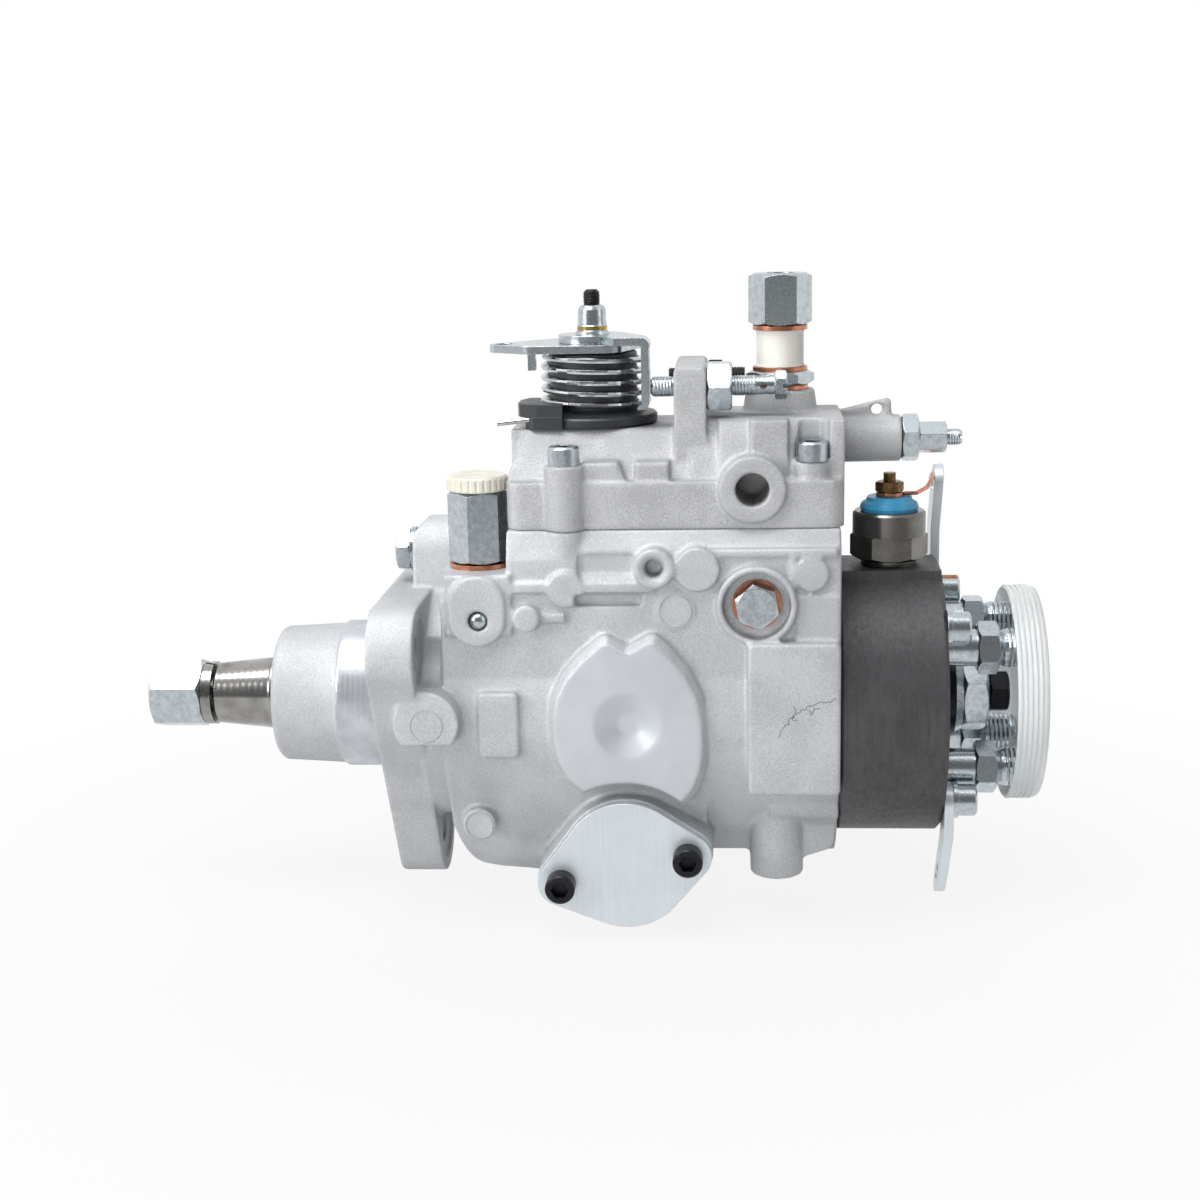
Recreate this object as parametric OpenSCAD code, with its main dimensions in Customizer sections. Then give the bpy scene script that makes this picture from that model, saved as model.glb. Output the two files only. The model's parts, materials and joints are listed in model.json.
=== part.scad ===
// Diesel injection pump of the distributor type, four outlets, flange mounted.
// X runs along the pump axis, drive end towards -X, outlets towards +X, Z is up.
// The origin is on the pump axis, at the face that seats on the engine.

/* [Overall] */
// Length of the housing, from the mounting face to the head joint
body_len = 148.5; // [140:0.5:180]
// Radius of the round part of the housing
barrel_r = 45; // [42:0.5:54]
// Radius of the bore that holds the pumping parts
chamber_r = 31; // [30:0.5:32]
// Height of the joint between housing and governor cover
joint_z = 63; // [60:0.5:76]
// Half width of the governor cover at its joint
cover_half_w = 38; // [36:0.5:46]

/* [Flange] */
// Diameter of the pilot that centres the pump
pilot_d = 50; // [46:0.5:60]
// Length of the machined pilot
pilot_len = 17; // [12:0.5:22]
// Length of the cast nose in front of the pilot
nose_len = 22.8; // [18:0.5:26]
// Thickness of the mounting flange
flange_t = 15; // [12:0.5:18]
// Diameter of the circle of mounting bolts
bolt_circle_d = 96; // [92:0.5:116]
// Diameter of each mounting hole
bolt_hole_d = 10.5; // [8.5:0.5:12.5]
// Metal round each mounting hole
ear_wall = 10.25; // [8:0.25:12]

/* [Drive] */
// Diameter of the drive shaft in its bush
shaft_d = 25; // [21:0.5:30]
// Length of the taper for the drive gear
taper_len = 19.6; // [16:0.2:24]
// Loss of diameter along the taper, per millimetre
taper_rate = 0.2; // [0.1:0.01:0.2]
// Diameter of the thread for the shaft nut
shaft_thread_d = 14; // [12:1:16]
// Width across flats of the shaft nut
shaft_nut_af = 22; // [19:0.5:27]
// Wall of the bush that the shaft turns in
bush_wall = 2.5; // [2:0.25:4]
// Lift of the cam disc
cam_lift = 2.2; // [1.6:0.1:2.4]
// Diameter of the pumping plunger
plunger_d = 12; // [9:0.5:14]

/* [Governor] */
// Module of the two governor gears
gear_module = 1.7; // [1.6:0.05:1.75]
// Teeth of the gear on the drive shaft
drive_teeth = 33; // [32:1:33]
// Teeth of the gear on the flyweight carrier
governor_teeth = 26; // [25:1:27]
// Diameter of the governor shaft
governor_shaft_d = 8; // [7:0.5:9]

/* [Timer] */
// Diameter of the timing piston
timer_d = 25; // [21:0.5:26]
// Length of the timing piston
timer_len = 40; // [34:0.5:48]

/* [Head] */
// Diameter of the distributor head
head_d = 92; // [90:0.5:112]
// Thickness of the distributor head
head_t = 33.9; // [28:0.5:40]
// Distance of each outlet from the pump axis
outlet_r = 28.4; // [26:0.1:31]
// Diameter of the thread on each outlet
outlet_thread_d = 12; // [10:0.5:14]
// Distance of each head screw from the centre planes
head_screw_at = 28.7; // [28:0.1:32]

/* [Control lever] */
// Distance of the lever shaft from the mounting face
lever_x = 69.6; // [66:0.2:72]
// Diameter of the lever shaft
lever_shaft_d = 8; // [6:0.5:10]
// Radius of the return spring
return_spring_r = 16.2; // [15.6:0.1:18]
// Thickness of the spring wire
return_wire_d = 1.9; // [1.4:0.1:2.2]

/* [Hidden] */
$fn = 72;

// Clearances, all radial
run_gap = 0.04;
press_gap = 0.02;
thread_gap = 0.06;
face_gap = 0.1;
seat_gap = 0.3;

// Stations along the pump axis
rear = body_len;
head_rear = rear + head_t;
nose_x = -pilot_len - nose_len;
floor_x = 24;
supply_x = [floor_x, floor_x + 18];
plate_x = [supply_x[1], supply_x[1] + 4];
gear_x = [plate_x[1] + 4, plate_x[1] + 14];
shaft_end_x = gear_x[1] + 6;
roller_ring_x = [70, 85.5];
roller_r = 6;
roller_x = 81.8;
cam_face_x = roller_x + roller_r + 0.5 + cam_lift;
cam_back_x = cam_face_x + 6.5;
yoke_x = [cam_back_x + 2.5, cam_back_x + 5.5];
barrel_face_x = rear - 20;
collar_x = [cam_back_x + 16, cam_back_x + 24];
pivot_at = [(collar_x[0] + collar_x[1]) / 2 - 1.5, 30];

// Radii of the turning parts
shaft_r = shaft_d / 2;
taper_big_x = nose_x - 3.3;
taper_small_x = taper_big_x - taper_len;
taper_big_r = shaft_r - 0.2;
taper_small_r = taper_big_r - taper_len * taper_rate / 2;
inner_shaft_r = shaft_r - 1.5;
bush_r = shaft_r + bush_wall;
seal_r = bush_r + 1.8;
seal_x = [nose_x + 1, nose_x + 9];
bush_x = [nose_x + 10, 8];
plunger_r = plunger_d / 2;
governor_z = gear_module * (drive_teeth + governor_teeth) / 2;
governor_r = governor_shaft_d / 2;
timer_r = timer_d / 2;
timer_at = [80.1, -44.3];
timer_span = barrel_r + 1;
timer_tilt = 12.5;
timer_screw_mid = timer_at - [0.6, 1.7];
timer_screw_reach = 20.95;
timer_pin_x = 77.8;
side_y = 42;
cast_grey = [0.73, 0.74, 0.74];
cover_grey = [0.68, 0.68, 0.67];
zinc = [0.80, 0.84, 0.87];
bright_steel = [0.62, 0.63, 0.65];
dark_steel = [0.24, 0.25, 0.27];
black = [0.12, 0.13, 0.14];
copper = [0.72, 0.42, 0.28];

// Basic solids along each axis

module x_rod(r, x0, x1, y = 0, z = 0) {
  translate([x0, y, z]) rotate([0, 90, 0]) cylinder(r = r, h = x1 - x0);
}

module y_rod(r, y0, y1, x = 0, z = 0) {
  translate([x, y0, z]) rotate([-90, 0, 0]) cylinder(r = r, h = y1 - y0);
}

module z_rod(r, z0, z1, x = 0, y = 0) {
  translate([x, y, z0]) cylinder(r = r, h = z1 - z0);
}

module box(x0, x1, y0, y1, z0, z1) {
  translate([x0, y0, z0]) cube([x1 - x0, y1 - y0, z1 - z0]);
}

// A turned part: each point is [place along the axis, radius]
module turned(points) {
  rotate_extrude() polygon([for (p = points) [p[1], p[0]]]);
}

module x_turned(points, y = 0, z = 0) {
  translate([0, y, z]) rotate([0, 90, 0]) turned(points);
}

module y_turned(points, x = 0, z = 0) {
  translate([x, 0, z]) rotate([-90, 0, 0]) turned(points);
}

module z_turned(points, x = 0, y = 0) {
  translate([x, y, 0]) turned(points);
}

// A flat outline in the X Z plane, as thick as y0 to y1
module side_plate(y0, y1) {
  translate([0, y1, 0]) rotate([90, 0, 0]) linear_extrude(y1 - y0) children();
}

// A flat outline in the Y Z plane, as thick as x0 to x1
module cross_plate(x0, x1) {
  translate([x0, 0, 0]) rotate([90, 0, 90]) linear_extrude(x1 - x0) children();
}

// Square corners rounded to r, outline from a to b
module round_rect(a, b, r) {
  translate([a[0] + r, a[1]]) square([b[0] - a[0] - 2 * r, b[1] - a[1]]);
  translate([a[0], a[1] + r]) square([b[0] - a[0], b[1] - a[1] - 2 * r]);
  for (x = [a[0] + r, b[0] - r], y = [a[1] + r, b[1] - r]) translate([x, y]) circle(r);
}

// Points where the common tangent leaves two circles, on the left of the line from p to q,
// drawn a hair inside so that line and arc cross cleanly
seam = 0.02;
function tangent_pair(p, rp, q, rq) =
  let (d = q - p, turn = atan2(d[1], d[0]) + 90 + asin((rq - rp) / norm(d)))
  [p + (rp - seam) * [cos(turn), sin(turn)], q + (rq - seam) * [cos(turn), sin(turn)]];

function reversed(list) = [for (i = [len(list) - 1:-1:0]) list[i]];

// Belt round circles that stand clockwise, each [centre, radius], with true round corners
module belt(circles) {
  count = len(circles);
  polygon(reversed([for (i = [0:count - 1])
    let (here = circles[i], next = circles[(i + 1) % count])
    for (p = tangent_pair(here[0], here[1], next[0], next[1])) p]));
  for (c = circles) translate(c[0]) circle(c[1]);
}

// Arms from one round centre out to smaller round ends, each [centre, radius]
module links(middle, middle_r, ends) {
  translate(middle) circle(middle_r);
  for (e = ends) {
    polygon(reversed(concat(tangent_pair(middle, middle_r, e[0], e[1]),
      tangent_pair(e[0], e[1], middle, middle_r))));
    translate(e[0]) circle(e[1]);
  }
}

// Hexagon head with both faces chamfered, along Z
module hex_bar(af, z0, z1, top_only = false) {
  corner_r = af / 2 / cos(30);
  face_r = af * 0.475;
  rise = (corner_r - face_r) * tan(30);
  low_r = top_only ? corner_r : face_r;
  intersection() {
    translate([0, 0, z0]) cylinder(r = corner_r, h = z1 - z0, $fn = 6);
    turned([[z0, 0], [z0, low_r], [z0 + rise, corner_r + 0.01], [z1 - rise, corner_r + 0.01],
      [z1, face_r], [z1, 0]]);
  }
}

module x_hex(af, x0, x1, y = 0, z = 0, turn = 0) {
  translate([0, y, z]) rotate([0, 90, 0]) rotate([0, 0, turn]) hex_bar(af, x0, x1);
}

module y_hex(af, y0, y1, x = 0, z = 0, turn = 0) {
  translate([x, 0, z]) rotate([-90, 0, 0]) rotate([0, 0, turn]) hex_bar(af, y0, y1);
}

module z_hex(af, z0, z1, x = 0, y = 0, turn = 0) {
  translate([x, y, 0]) rotate([0, 0, turn]) hex_bar(af, z0, z1);
}

// Socket head screw standing on z = 0, shank below
module cap_screw(d, head_d, head_h, shank_len) {
  key_r = d * 0.48;
  edge = 0.6;
  difference() {
    turned([[-shank_len, 0], [-shank_len, d / 2 - 0.5], [-shank_len + 0.5, d / 2], [0, d / 2],
      [0, head_d / 2], [head_h - edge, head_d / 2], [head_h, head_d / 2 - edge], [head_h, 0]]);
    translate([0, 0, head_h / 2]) cylinder(r = key_r, h = head_h, $fn = 6);
  }
}

// Round wire swept along a helix about Z, from z0 to z1
module coil(r, wire_r, z0, z1, turns, steps = 16, sides = 6, start = 0) {
  rings = round(turns * steps);
  rise = (z1 - z0) / rings;
  points = [for (i = [0:rings]) for (k = [0:sides - 1])
    let (a = start + 360 * i / steps, b = 360 * k / sides, q = r + wire_r * cos(b))
    [q * cos(a), q * sin(a), z0 + rise * i + wire_r * sin(b)]];
  skin = [for (i = [0:rings - 1]) for (k = [0:sides - 1]) let (n = (k + 1) % sides)
    [i * sides + k, i * sides + n, (i + 1) * sides + n, (i + 1) * sides + k]];
  polyhedron(points, concat(skin, [[for (k = [sides - 1:-1:0]) k]],
    [[for (k = [0:sides - 1]) rings * sides + k]]), convexity = 8);
}

// Gear outline with true involute flanks
tooth_play = 0.3;
pressure = 20;
function involute(a) = tan(a) * 180 / PI - a;
function half_tooth(teeth, r) =
  let (pitch_r = gear_module * teeth / 2, base_r = pitch_r * cos(pressure))
  90 / teeth - tooth_play / (2 * pitch_r) * 180 / PI + involute(pressure)
    - involute(acos(min(1, base_r / r)));
function gear_outline(teeth) =
  let (pitch_r = gear_module * teeth / 2, root = pitch_r - 1.15 * gear_module,
    tip = pitch_r + 0.9 * gear_module,
    radii = [root, pitch_r - 0.5 * gear_module, pitch_r, pitch_r + 0.5 * gear_module, tip])
  [for (i = [0:teeth - 1]) let (mid = 360 / teeth * i)
    for (s = [-1, 1]) for (k = [0:4])
      let (r = radii[s < 0 ? k : 4 - k], a = mid + s * half_tooth(teeth, r)) r * [cos(a), sin(a)]];

// The housing

ear_r = bolt_hole_d / 2 + ear_wall;
ear_at = [for (a = [210, 90, -30]) bolt_circle_d / 2 * [-cos(a), -sin(a)]];
hub_r = 41;
body_x = 22;
upper_x = 43.5;
mpad_at = [81.2, 1.8];
pad_face_y = -48.5;
big_plug_at = [rear - 26.4, 39.8];
big_plug_y = -46;
inlet_at = [33.5, -28];
inlet_seat_z = 50;
side_boss_at = [17.5, 3.5];
ball_at = [34.5, -43.6, 35.4];
column_at = [62.1, 36];
column_r = 6.2;
rear_screw_at = [rear - 9, 33];
lump_x = rear - 19.8;
lump_y = -24;
lump_r = 8.7;
governor_bay = [47, collar_x[1] + 1, 27];
dimple_r = 10.5;

module ear_outline() {
  belt([for (c = ear_at) [c, ear_r]]);
}

// Section of the main body across the axis
module body_section(low_r, low_z) {
  belt([[[0, 0], barrel_r], [[0, low_z], low_r]]);
  polygon([[-side_y, 0], [-side_y, joint_z - 9], [-cover_half_w, joint_z], [cover_half_w, joint_z],
    [side_y, joint_z - 9], [side_y, 0]]);
}

module front_hump() {
  intersection() {
    cross_plate(8.5, 48) union() {
      belt([[[0, governor_z], 11.5], [[0, 20], 16]]);
      translate([0, governor_z]) circle(11.5);
    }
    side_plate(-20, 20) polygon([[8.5, 20], [8.5, 57], [14, 62.5], [48, 62.5], [48, 20]]);
  }
}

module main_body() {
  intersection() {
    union() {
      cross_plate(body_x, 106) body_section(31, -31);
      cross_plate(106, rear) body_section(27, -27.5);
    }
    side_plate(-60, 60) union() {
      round_rect([body_x, -70], [60, 42], 0.5);
      belt([[[36, -40], 14], [[36, 26], 14], [[90, 26], 14], [[90, -50], 14]]);
      translate([upper_x, -30]) square([rear - upper_x, joint_z + 30]);
      translate([50, -70]) square([rear - 50, 60]);
    }
  }
}

// What the lower front of the body lacks of its square corner
module lower_corner() {
  side_plate(-60, 60) polygon([[body_x - 1, -72], [53, -72], [53, -62.5], [45, -58], [36, -56.4],
    [30.5, -54.5], [27.4, -51.8], [25.4, -48], [23.4, -42.5], [body_x, -37], [body_x - 1, -37]]);
}

module timer_boss() {
  side_plate(-timer_span, timer_span) timer_outline(0);
}

module timer_outline(grow) {
  links(timer_at, 21.2 + grow, [for (end = [-1, 1]) [timer_screw_place(end), 8 + grow]]);
}

// Outline of the face of the raised pad, as seen from the near side, round mpad_at
pad_corners = [[-23.2, 2.7], [-23.2, -4.5], [-21.7, -11.7], [-18.5, -17.6], [-13.8, -21.5],
  [16.9, -24.8], [20.4, -20.2], [22.6, -14.4], [23.5, -6.3], [23.3, 0.8], [22, 8.8], [18.2, 16.3],
  [13.2, 22.5], [8.6, 26.8], [6.3, 26.8], [0.4, 23.2], [-5.5, 26.5], [-7.6, 26.2], [-14.1, 20.8],
  [-19, 15.1], [-22, 8.9]];

module pad_outline() {
  difference() {
    polygon(pad_corners);
    translate(timer_at - mpad_at) circle(27.6);
  }
}

// The face is machined, its sides slope out to the foot
module machined_pad() {
  rim = 3.4;
  foot = 1.09;
  translate([mpad_at[0], pad_face_y + rim, mpad_at[1]]) rotate([90, 0, 0]) {
    linear_extrude(rim, scale = 1 / foot) scale(foot) pad_outline();
    translate([0, 0, -14]) linear_extrude(14.01) scale(foot) pad_outline();
  }
}

// Pads, bosses and ribs that stand on both sides
module side_details() {
  side_plate(-48, -30) round_rect([rear - 29.3, -21.4], [rear - 0.3, 28.1], 1.5);
  y_rod(12.6, big_plug_y, -30, big_plug_at[0], big_plug_at[1]);
  y_rod(6.4, -46, -35, rear - 58.4, 51.8);
  y_rod(7, -45, -35, rear - 44.9, 51.3);
  y_rod(6, side_y * -1 - 0.6, -35, rear - 51.9, 37.9);
  y_rod(5.4, -43.6, -35, rear - 9.3, 49.4);
  box(upper_x, rear - 58, -43.6, -35, 44, 47.2);
  box(rear - 42, rear - 1, -43.4, -35, 55, 57.5);
  box(rear - 16, rear - 14, -43.4, -35, 45, 57);
  box(rear - 14, rear - 0.3, -43.2, -35, 28, 42.5);
}

module left_details() {
  z_rod(column_r, 36, joint_z, column_at[0], -column_at[1]);
  y_rod(5.8, -44, -30, column_at[0], 45);
  y_rod(4.4, -46, -30, 49.7, 36);
  box(38, 62, -44, -30, 34.4, 37.6);
  side_plate(-46.6, -30) round_rect([33.5, -9.3], [46.6, 12.2], 2);
  y_rod(5.5, -40, -20, 31.7, -34);
}

module inlet_block() {
  box(24, 45, -44, -14, 30, inlet_seat_z);
  side_plate(-46, -14) belt([[[34.2, 36], 9], [[34.2, inlet_seat_z - 9], 9]]);
  box(44, upper_x + 12, -42, -14, 40, inlet_seat_z + 1.6);
  z_rod(11.5, 40, inlet_seat_z, inlet_at[0], inlet_at[1]);
}

module rear_lump() {
  low = -55.2;
  z_rod(lump_r, low, -20, lump_x, lump_y);
  box(lump_x - lump_r, lump_x + lump_r, lump_y, 10, low, -30);
  z_rod(lump_r, low, -20, lump_x, 10);
  side_plate(lump_y - 2, 14) polygon([[lump_x, -50], [rear - 11.7, -50], [rear - 1.6, -46.6],
    [rear - 0.6, -43.2], [rear, -32], [rear, -20], [lump_x, -20]]);
}

module housing_outside() {
  difference() {
    union() {
      main_body();
      cross_plate(0, flange_t) ear_outline();
      x_rod(hub_r, flange_t - 1, body_x + 1);
      front_hump();
      timer_boss();
      machined_pad();
      side_details();
      mirror([0, 1, 0]) side_details();
      left_details();
      mirror([0, 1, 0]) z_rod(column_r, 36, joint_z, column_at[0], -column_at[1]);
      inlet_block();
      rear_lump();
      for (y = [-1, 1], z = [-1, 1])
        x_rod(6.4, rear - 22, rear, y * head_screw_at, z * head_screw_at);
      intersection() {
        y_rod(10.6, -52, -20, side_boss_at[0], side_boss_at[1]);
        box(0, 40, -60, 0, side_boss_at[1] - 7, 40);
      }
      x_turned([[nose_x, 0], [nose_x, pilot_d / 2 - 3.4], [nose_x + 1.5, pilot_d / 2 - 2],
        [-pilot_len, pilot_d / 2 - 0.9], [-pilot_len, pilot_d / 2], [0.5, pilot_d / 2], [0.5, 0]]);
    }
    lower_corner();
  }
}

module bolt_holes() {
  for (c = ear_at) {
    x_rod(bolt_hole_d / 2, -1, flange_t + 1, c[0], c[1]);
    x_rod(bolt_hole_d / 2 + 5.6, flange_t - 1.2, flange_t + 6, c[0], c[1]);
  }
}

// Everything bored and hollowed out of the casting
module housing_inside() {
  x_rod(seal_r + press_gap, nose_x - 1, seal_x[1]);
  x_rod(bush_r + press_gap, nose_x, bush_x[1]);
  x_rod(shaft_r + 0.5, bush_x[1] - 1, floor_x + 1);
  x_rod(chamber_r + run_gap, floor_x, rear + 1);
  box(governor_bay[0], governor_bay[1], -governor_bay[2], governor_bay[2], 5, joint_z + 1);
  x_rod(governor_r + press_gap, 0, governor_bay[0] + 1, 0, governor_z);
  x_rod(8.6, -1, 8.5, 0, governor_z);
  y_rod(timer_r + run_gap, -timer_span - 1, timer_span + 1, timer_at[0], timer_at[1]);
  box(timer_pin_x - 4.6, timer_pin_x + 4.6, -11, 11, timer_at[1], -20);
  y_rod(3.1, -50, ball_at[1] + 3.1, ball_at[0], ball_at[2]);
  y_rod(10.6, -50, big_plug_y + 5, big_plug_at[0], big_plug_at[1]);
  y_rod(4 + thread_gap, -50, big_plug_y + 16, big_plug_at[0], big_plug_at[1]);
  y_turned([[-47, 0], [-47, 5.5], [-44.4, 2.9], [-38, 2.9], [-38, 0]], rear - 58.4, 51.8);
  z_rod(6 + thread_gap, inlet_seat_z - 14, inlet_seat_z + 1, inlet_at[0], inlet_at[1]);
  y_rod(lever_pivot_r + press_gap, -governor_bay[2] - 8, governor_bay[2] + 8, pivot_at[0], pivot_at[1]);
  y_turned([[pad_face_y - 1, 0], [pad_face_y - 1, dimple_r + 2.2], [pad_face_y + 3.6, 3.6],
    [pad_face_y + 3.6, 0]], mpad_at[0], mpad_at[1]);
  box(65, 86, -50, -39.5, 39.4, 43.2);
  box(66, 84, -50, -40, 49, 56);
  side_ring(side_boss_at, -52, 6, 5.5);
  side_ring([lump_x, -49.3], lump_y - lump_r, 5, 4.6);
  for (x = [column_at[0]], s = [-1, 1])
    z_rod(3 + thread_gap, joint_z - 14, joint_z + 1, x, s * column_at[1]);
  for (s = [-1, 1])
    z_rod(3 + thread_gap, joint_z - 14, joint_z + 1, rear_screw_at[0], s * rear_screw_at[1]);
  for (y = [-1, 1], z = [-1, 1])
    x_rod(3 + thread_gap, rear - 18, rear + 1, y * head_screw_at, z * head_screw_at);
  for (side = [-1, 1], end = [-1, 1]) timer_screw_hole(side, end);
  bolt_holes();
}

module side_ring(at, face_y, outer, inner) {
  difference() {
    y_rod(outer, face_y - 1, face_y + 0.5, at[0], at[1]);
    y_rod(inner, face_y - 2, face_y + 1, at[0], at[1]);
  }
}

function timer_screw_place(end) =
  timer_screw_mid + end * timer_screw_reach * [cos(timer_tilt), sin(timer_tilt)];

module timer_screw_hole(side, end) {
  p = timer_screw_place(end);
  depth = 16;
  y_rod(3 + thread_gap, side < 0 ? -timer_span - 1 : timer_span - depth,
    side < 0 ? -timer_span + depth : timer_span + 1, p[0], p[1]);
}

module pump_housing() {
  color(cast_grey) difference() {
    housing_outside();
    housing_inside();
  }
}

module shaft_seal() {
  color(black) x_turned([[seal_x[0], shaft_r + run_gap], [seal_x[0], seal_r], [seal_x[1], seal_r],
    [seal_x[1], shaft_r + 1.6], [seal_x[1] - 3, shaft_r + 1.6], [seal_x[1] - 3, shaft_r + run_gap]]);
}

module shaft_bush() {
  color("darkgoldenrod") x_turned([[bush_x[0], shaft_r + run_gap], [bush_x[0], bush_r],
    [bush_x[1], bush_r], [bush_x[1], shaft_r + run_gap]]);
}

// The drive shaft and what turns with it

key_x = [taper_small_x + 3.5, taper_small_x + 15.5];
key_w = 4;
key_floor = taper_small_r - 3.4;
claw_w = 8;
claw_r = [9, 17];
cross_x = [shaft_end_x + 1, shaft_end_x + 7];
nut_x = [taper_small_x - 22.2, taper_small_x - 4.3];
washer_t = 3.4;

module key_block(gap) {
  box(key_x[0] - gap, key_x[1] + gap, key_floor - gap, taper_big_r + 1.5, -key_w / 2 - gap, key_w / 2 + gap);
}

module claws(x0, x1, gap) {
  for (s = [-1, 1]) intersection() {
    x_rod(claw_r[1] + gap, x0, x1);
    translate([x0 - 1, s > 0 ? claw_r[0] - gap : -claw_r[1] - 2, -claw_w / 2 - gap])
      cube([x1 - x0 + 2, claw_r[1] - claw_r[0] + 2 + gap, claw_w + 2 * gap]);
  }
}

module drive_shaft() {
  thread_r = shaft_thread_d / 2;
  color(bright_steel) {
    difference() {
      x_turned([[nut_x[0] + 1, 0], [nut_x[0] + 1, thread_r - 1], [nut_x[0] + 2, thread_r],
        [taper_small_x - 2, thread_r], [taper_small_x - 1.5, thread_r - 0.8],
        [taper_small_x, thread_r - 0.8], [taper_small_x, taper_small_r - 0.5],
        [taper_small_x + 0.5, taper_small_r], [taper_big_x, taper_big_r],
        [taper_big_x + 0.5, shaft_r], [10, shaft_r], [11, inner_shaft_r],
        [gear_x[1] + face_gap, inner_shaft_r], [gear_x[1] + face_gap, claw_r[1]],
        [shaft_end_x, claw_r[1]], [shaft_end_x, 0]]);
      key_block(press_gap);
      x_rod(2.2, nut_x[0] - 1, nut_x[0] + 8);
    }
    claws(shaft_end_x - 0.5, cross_x[1] - 0.6, 0);
  }
}

module shaft_key() {
  color(dark_steel) intersection() {
    key_block(0);
    x_turned([[key_x[0], 0], [key_x[0], taper_small_r + 2.2], [key_x[1], taper_small_r + 2.9],
      [key_x[1], 0]]);
  }
}

module lock_washer() {
  x1 = nut_x[1] + washer_t;
  color(bright_steel) difference() {
    x_rod(shaft_nut_af / 2 - 0.2, nut_x[1], x1);
    x_rod(shaft_thread_d / 2 + 0.3, nut_x[1] - 1, x1 + 1);
    translate([nut_x[1] - 1, -1, 0]) rotate([0, 0, -20]) cube([6, 1.2, shaft_nut_af]);
  }
}

module shaft_nut() {
  color(zinc) difference() {
    x_hex(shaft_nut_af, nut_x[0], nut_x[1], turn = 10);
    x_rod(shaft_thread_d / 2 + thread_gap, nut_x[0] - 1, nut_x[1] + 1);
    x_turned([[nut_x[0] - 0.1, 0], [nut_x[0] - 0.1, shaft_thread_d / 2 + 1],
      [nut_x[0] + 0.9, shaft_thread_d / 2], [nut_x[0] + 0.9, 0]]);
  }
}

module drive_gear() {
  color(bright_steel) difference() {
    union() {
      cross_plate(gear_x[0], gear_x[1]) rotate(90) polygon(gear_outline(drive_teeth));
      x_rod(18, plate_x[1] + 1.5, gear_x[0] + 1);
    }
    x_rod(inner_shaft_r + press_gap, plate_x[1], gear_x[1] + 1);
  }
}

module cross_disc() {
  color(dark_steel) difference() {
    x_rod(claw_r[1] + 0.8, cross_x[0], cross_x[1] - 0.3);
    claws(cross_x[0] - 1, cross_x[1] + 1, 0.35);
    rotate([90, 0, 0]) claws(cross_x[0] - 1, cross_x[1] + 1, 0.35);
    x_rod(5, cross_x[0] - 1, cross_x[1] + 1);
  }
}

// The vane pump that feeds the housing

rotor_r = 21;
vane_tip_r = 22.5;
vane_w = 3;
supply_bore_r = 23.8;
supply_offset = 1.2;

module supply_ring() {
  color(dark_steel) difference() {
    x_rod(chamber_r - run_gap, supply_x[0], supply_x[1]);
    x_rod(supply_bore_r, supply_x[0] - 1, supply_x[1] + 1, 0, supply_offset);
    for (s = [-1, 1]) x_rod(1.6, supply_x[0] - 1, supply_x[1] + 1, s * 27.4, 0);
  }
}

vane_root_r = 15;

// Rotor with a sliding vane in each of its four slots
module supply_rotor() {
  color(bright_steel) difference() {
    x_rod(rotor_r, supply_x[0] + face_gap, supply_x[1] - face_gap);
    x_rod(inner_shaft_r + press_gap, supply_x[0] - 1, supply_x[1] + 1);
    for (a = [0:90:270]) rotate([a, 0, 0])
      box(supply_x[0] - 1, supply_x[1] + 1, -vane_w / 2 - run_gap, vane_w / 2 + run_gap,
        vane_root_r - run_gap, 30);
  }
  color(zinc) for (a = [0:90:270]) rotate([a, 0, 0])
    box(supply_x[0] + face_gap, supply_x[1] - face_gap, -vane_w / 2, vane_w / 2, vane_root_r, vane_tip_r);
}

module supply_plate() {
  color(dark_steel) difference() {
    x_rod(chamber_r - run_gap, plate_x[0], plate_x[1]);
    x_rod(inner_shaft_r + 0.4, plate_x[0] - 1, plate_x[1] + 1);
    for (s = [-1, 1]) x_rod(1.6, plate_x[0] - 1, plate_x[1] + 1, s * 27.4, 0);
    for (s = [-1, 1]) x_rod(2.2, plate_x[0] - 1, plate_x[1] + 1, s * 13, 16);
  }
}

// Roller ring and timing piston

roller_span = [20.6, 28.4];
ring_r = chamber_r - 0.2;
ring_bore_r = 19;
pin_r = 4;
pin_foot_z = timer_at[1] - 2;

module roller_ring() {
  color(bright_steel) difference() {
    x_rod(ring_r, roller_ring_x[0], roller_ring_x[1]);
    x_rod(ring_bore_r, roller_ring_x[0] - 1, roller_ring_x[1] + 1);
    for (a = [45:90:315]) rotate([a, 0, 0])
      box(roller_x - roller_r - 0.3, roller_ring_x[1] + 1, -roller_r - 0.2, roller_r + 0.2,
        roller_span[0] - 0.15, roller_span[1] + 0.15);
    z_rod(pin_r + press_gap, -ring_r - 2, -ring_bore_r + 1, timer_pin_x, 0);
  }
}

module cam_rollers() {
  color(bright_steel) for (a = [45:90:315]) rotate([a, 0, 0])
    z_turned([[roller_span[0], 0], [roller_span[0], roller_r - 0.8], [roller_span[0] + 0.8, roller_r],
      [roller_span[1] - 0.8, roller_r], [roller_span[1], roller_r - 0.8], [roller_span[1], 0]],
      roller_x, 0);
}

module timer_pin() {
  color(dark_steel) z_rod(pin_r, pin_foot_z, -ring_bore_r - 0.5, timer_pin_x, 0);
}

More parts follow.
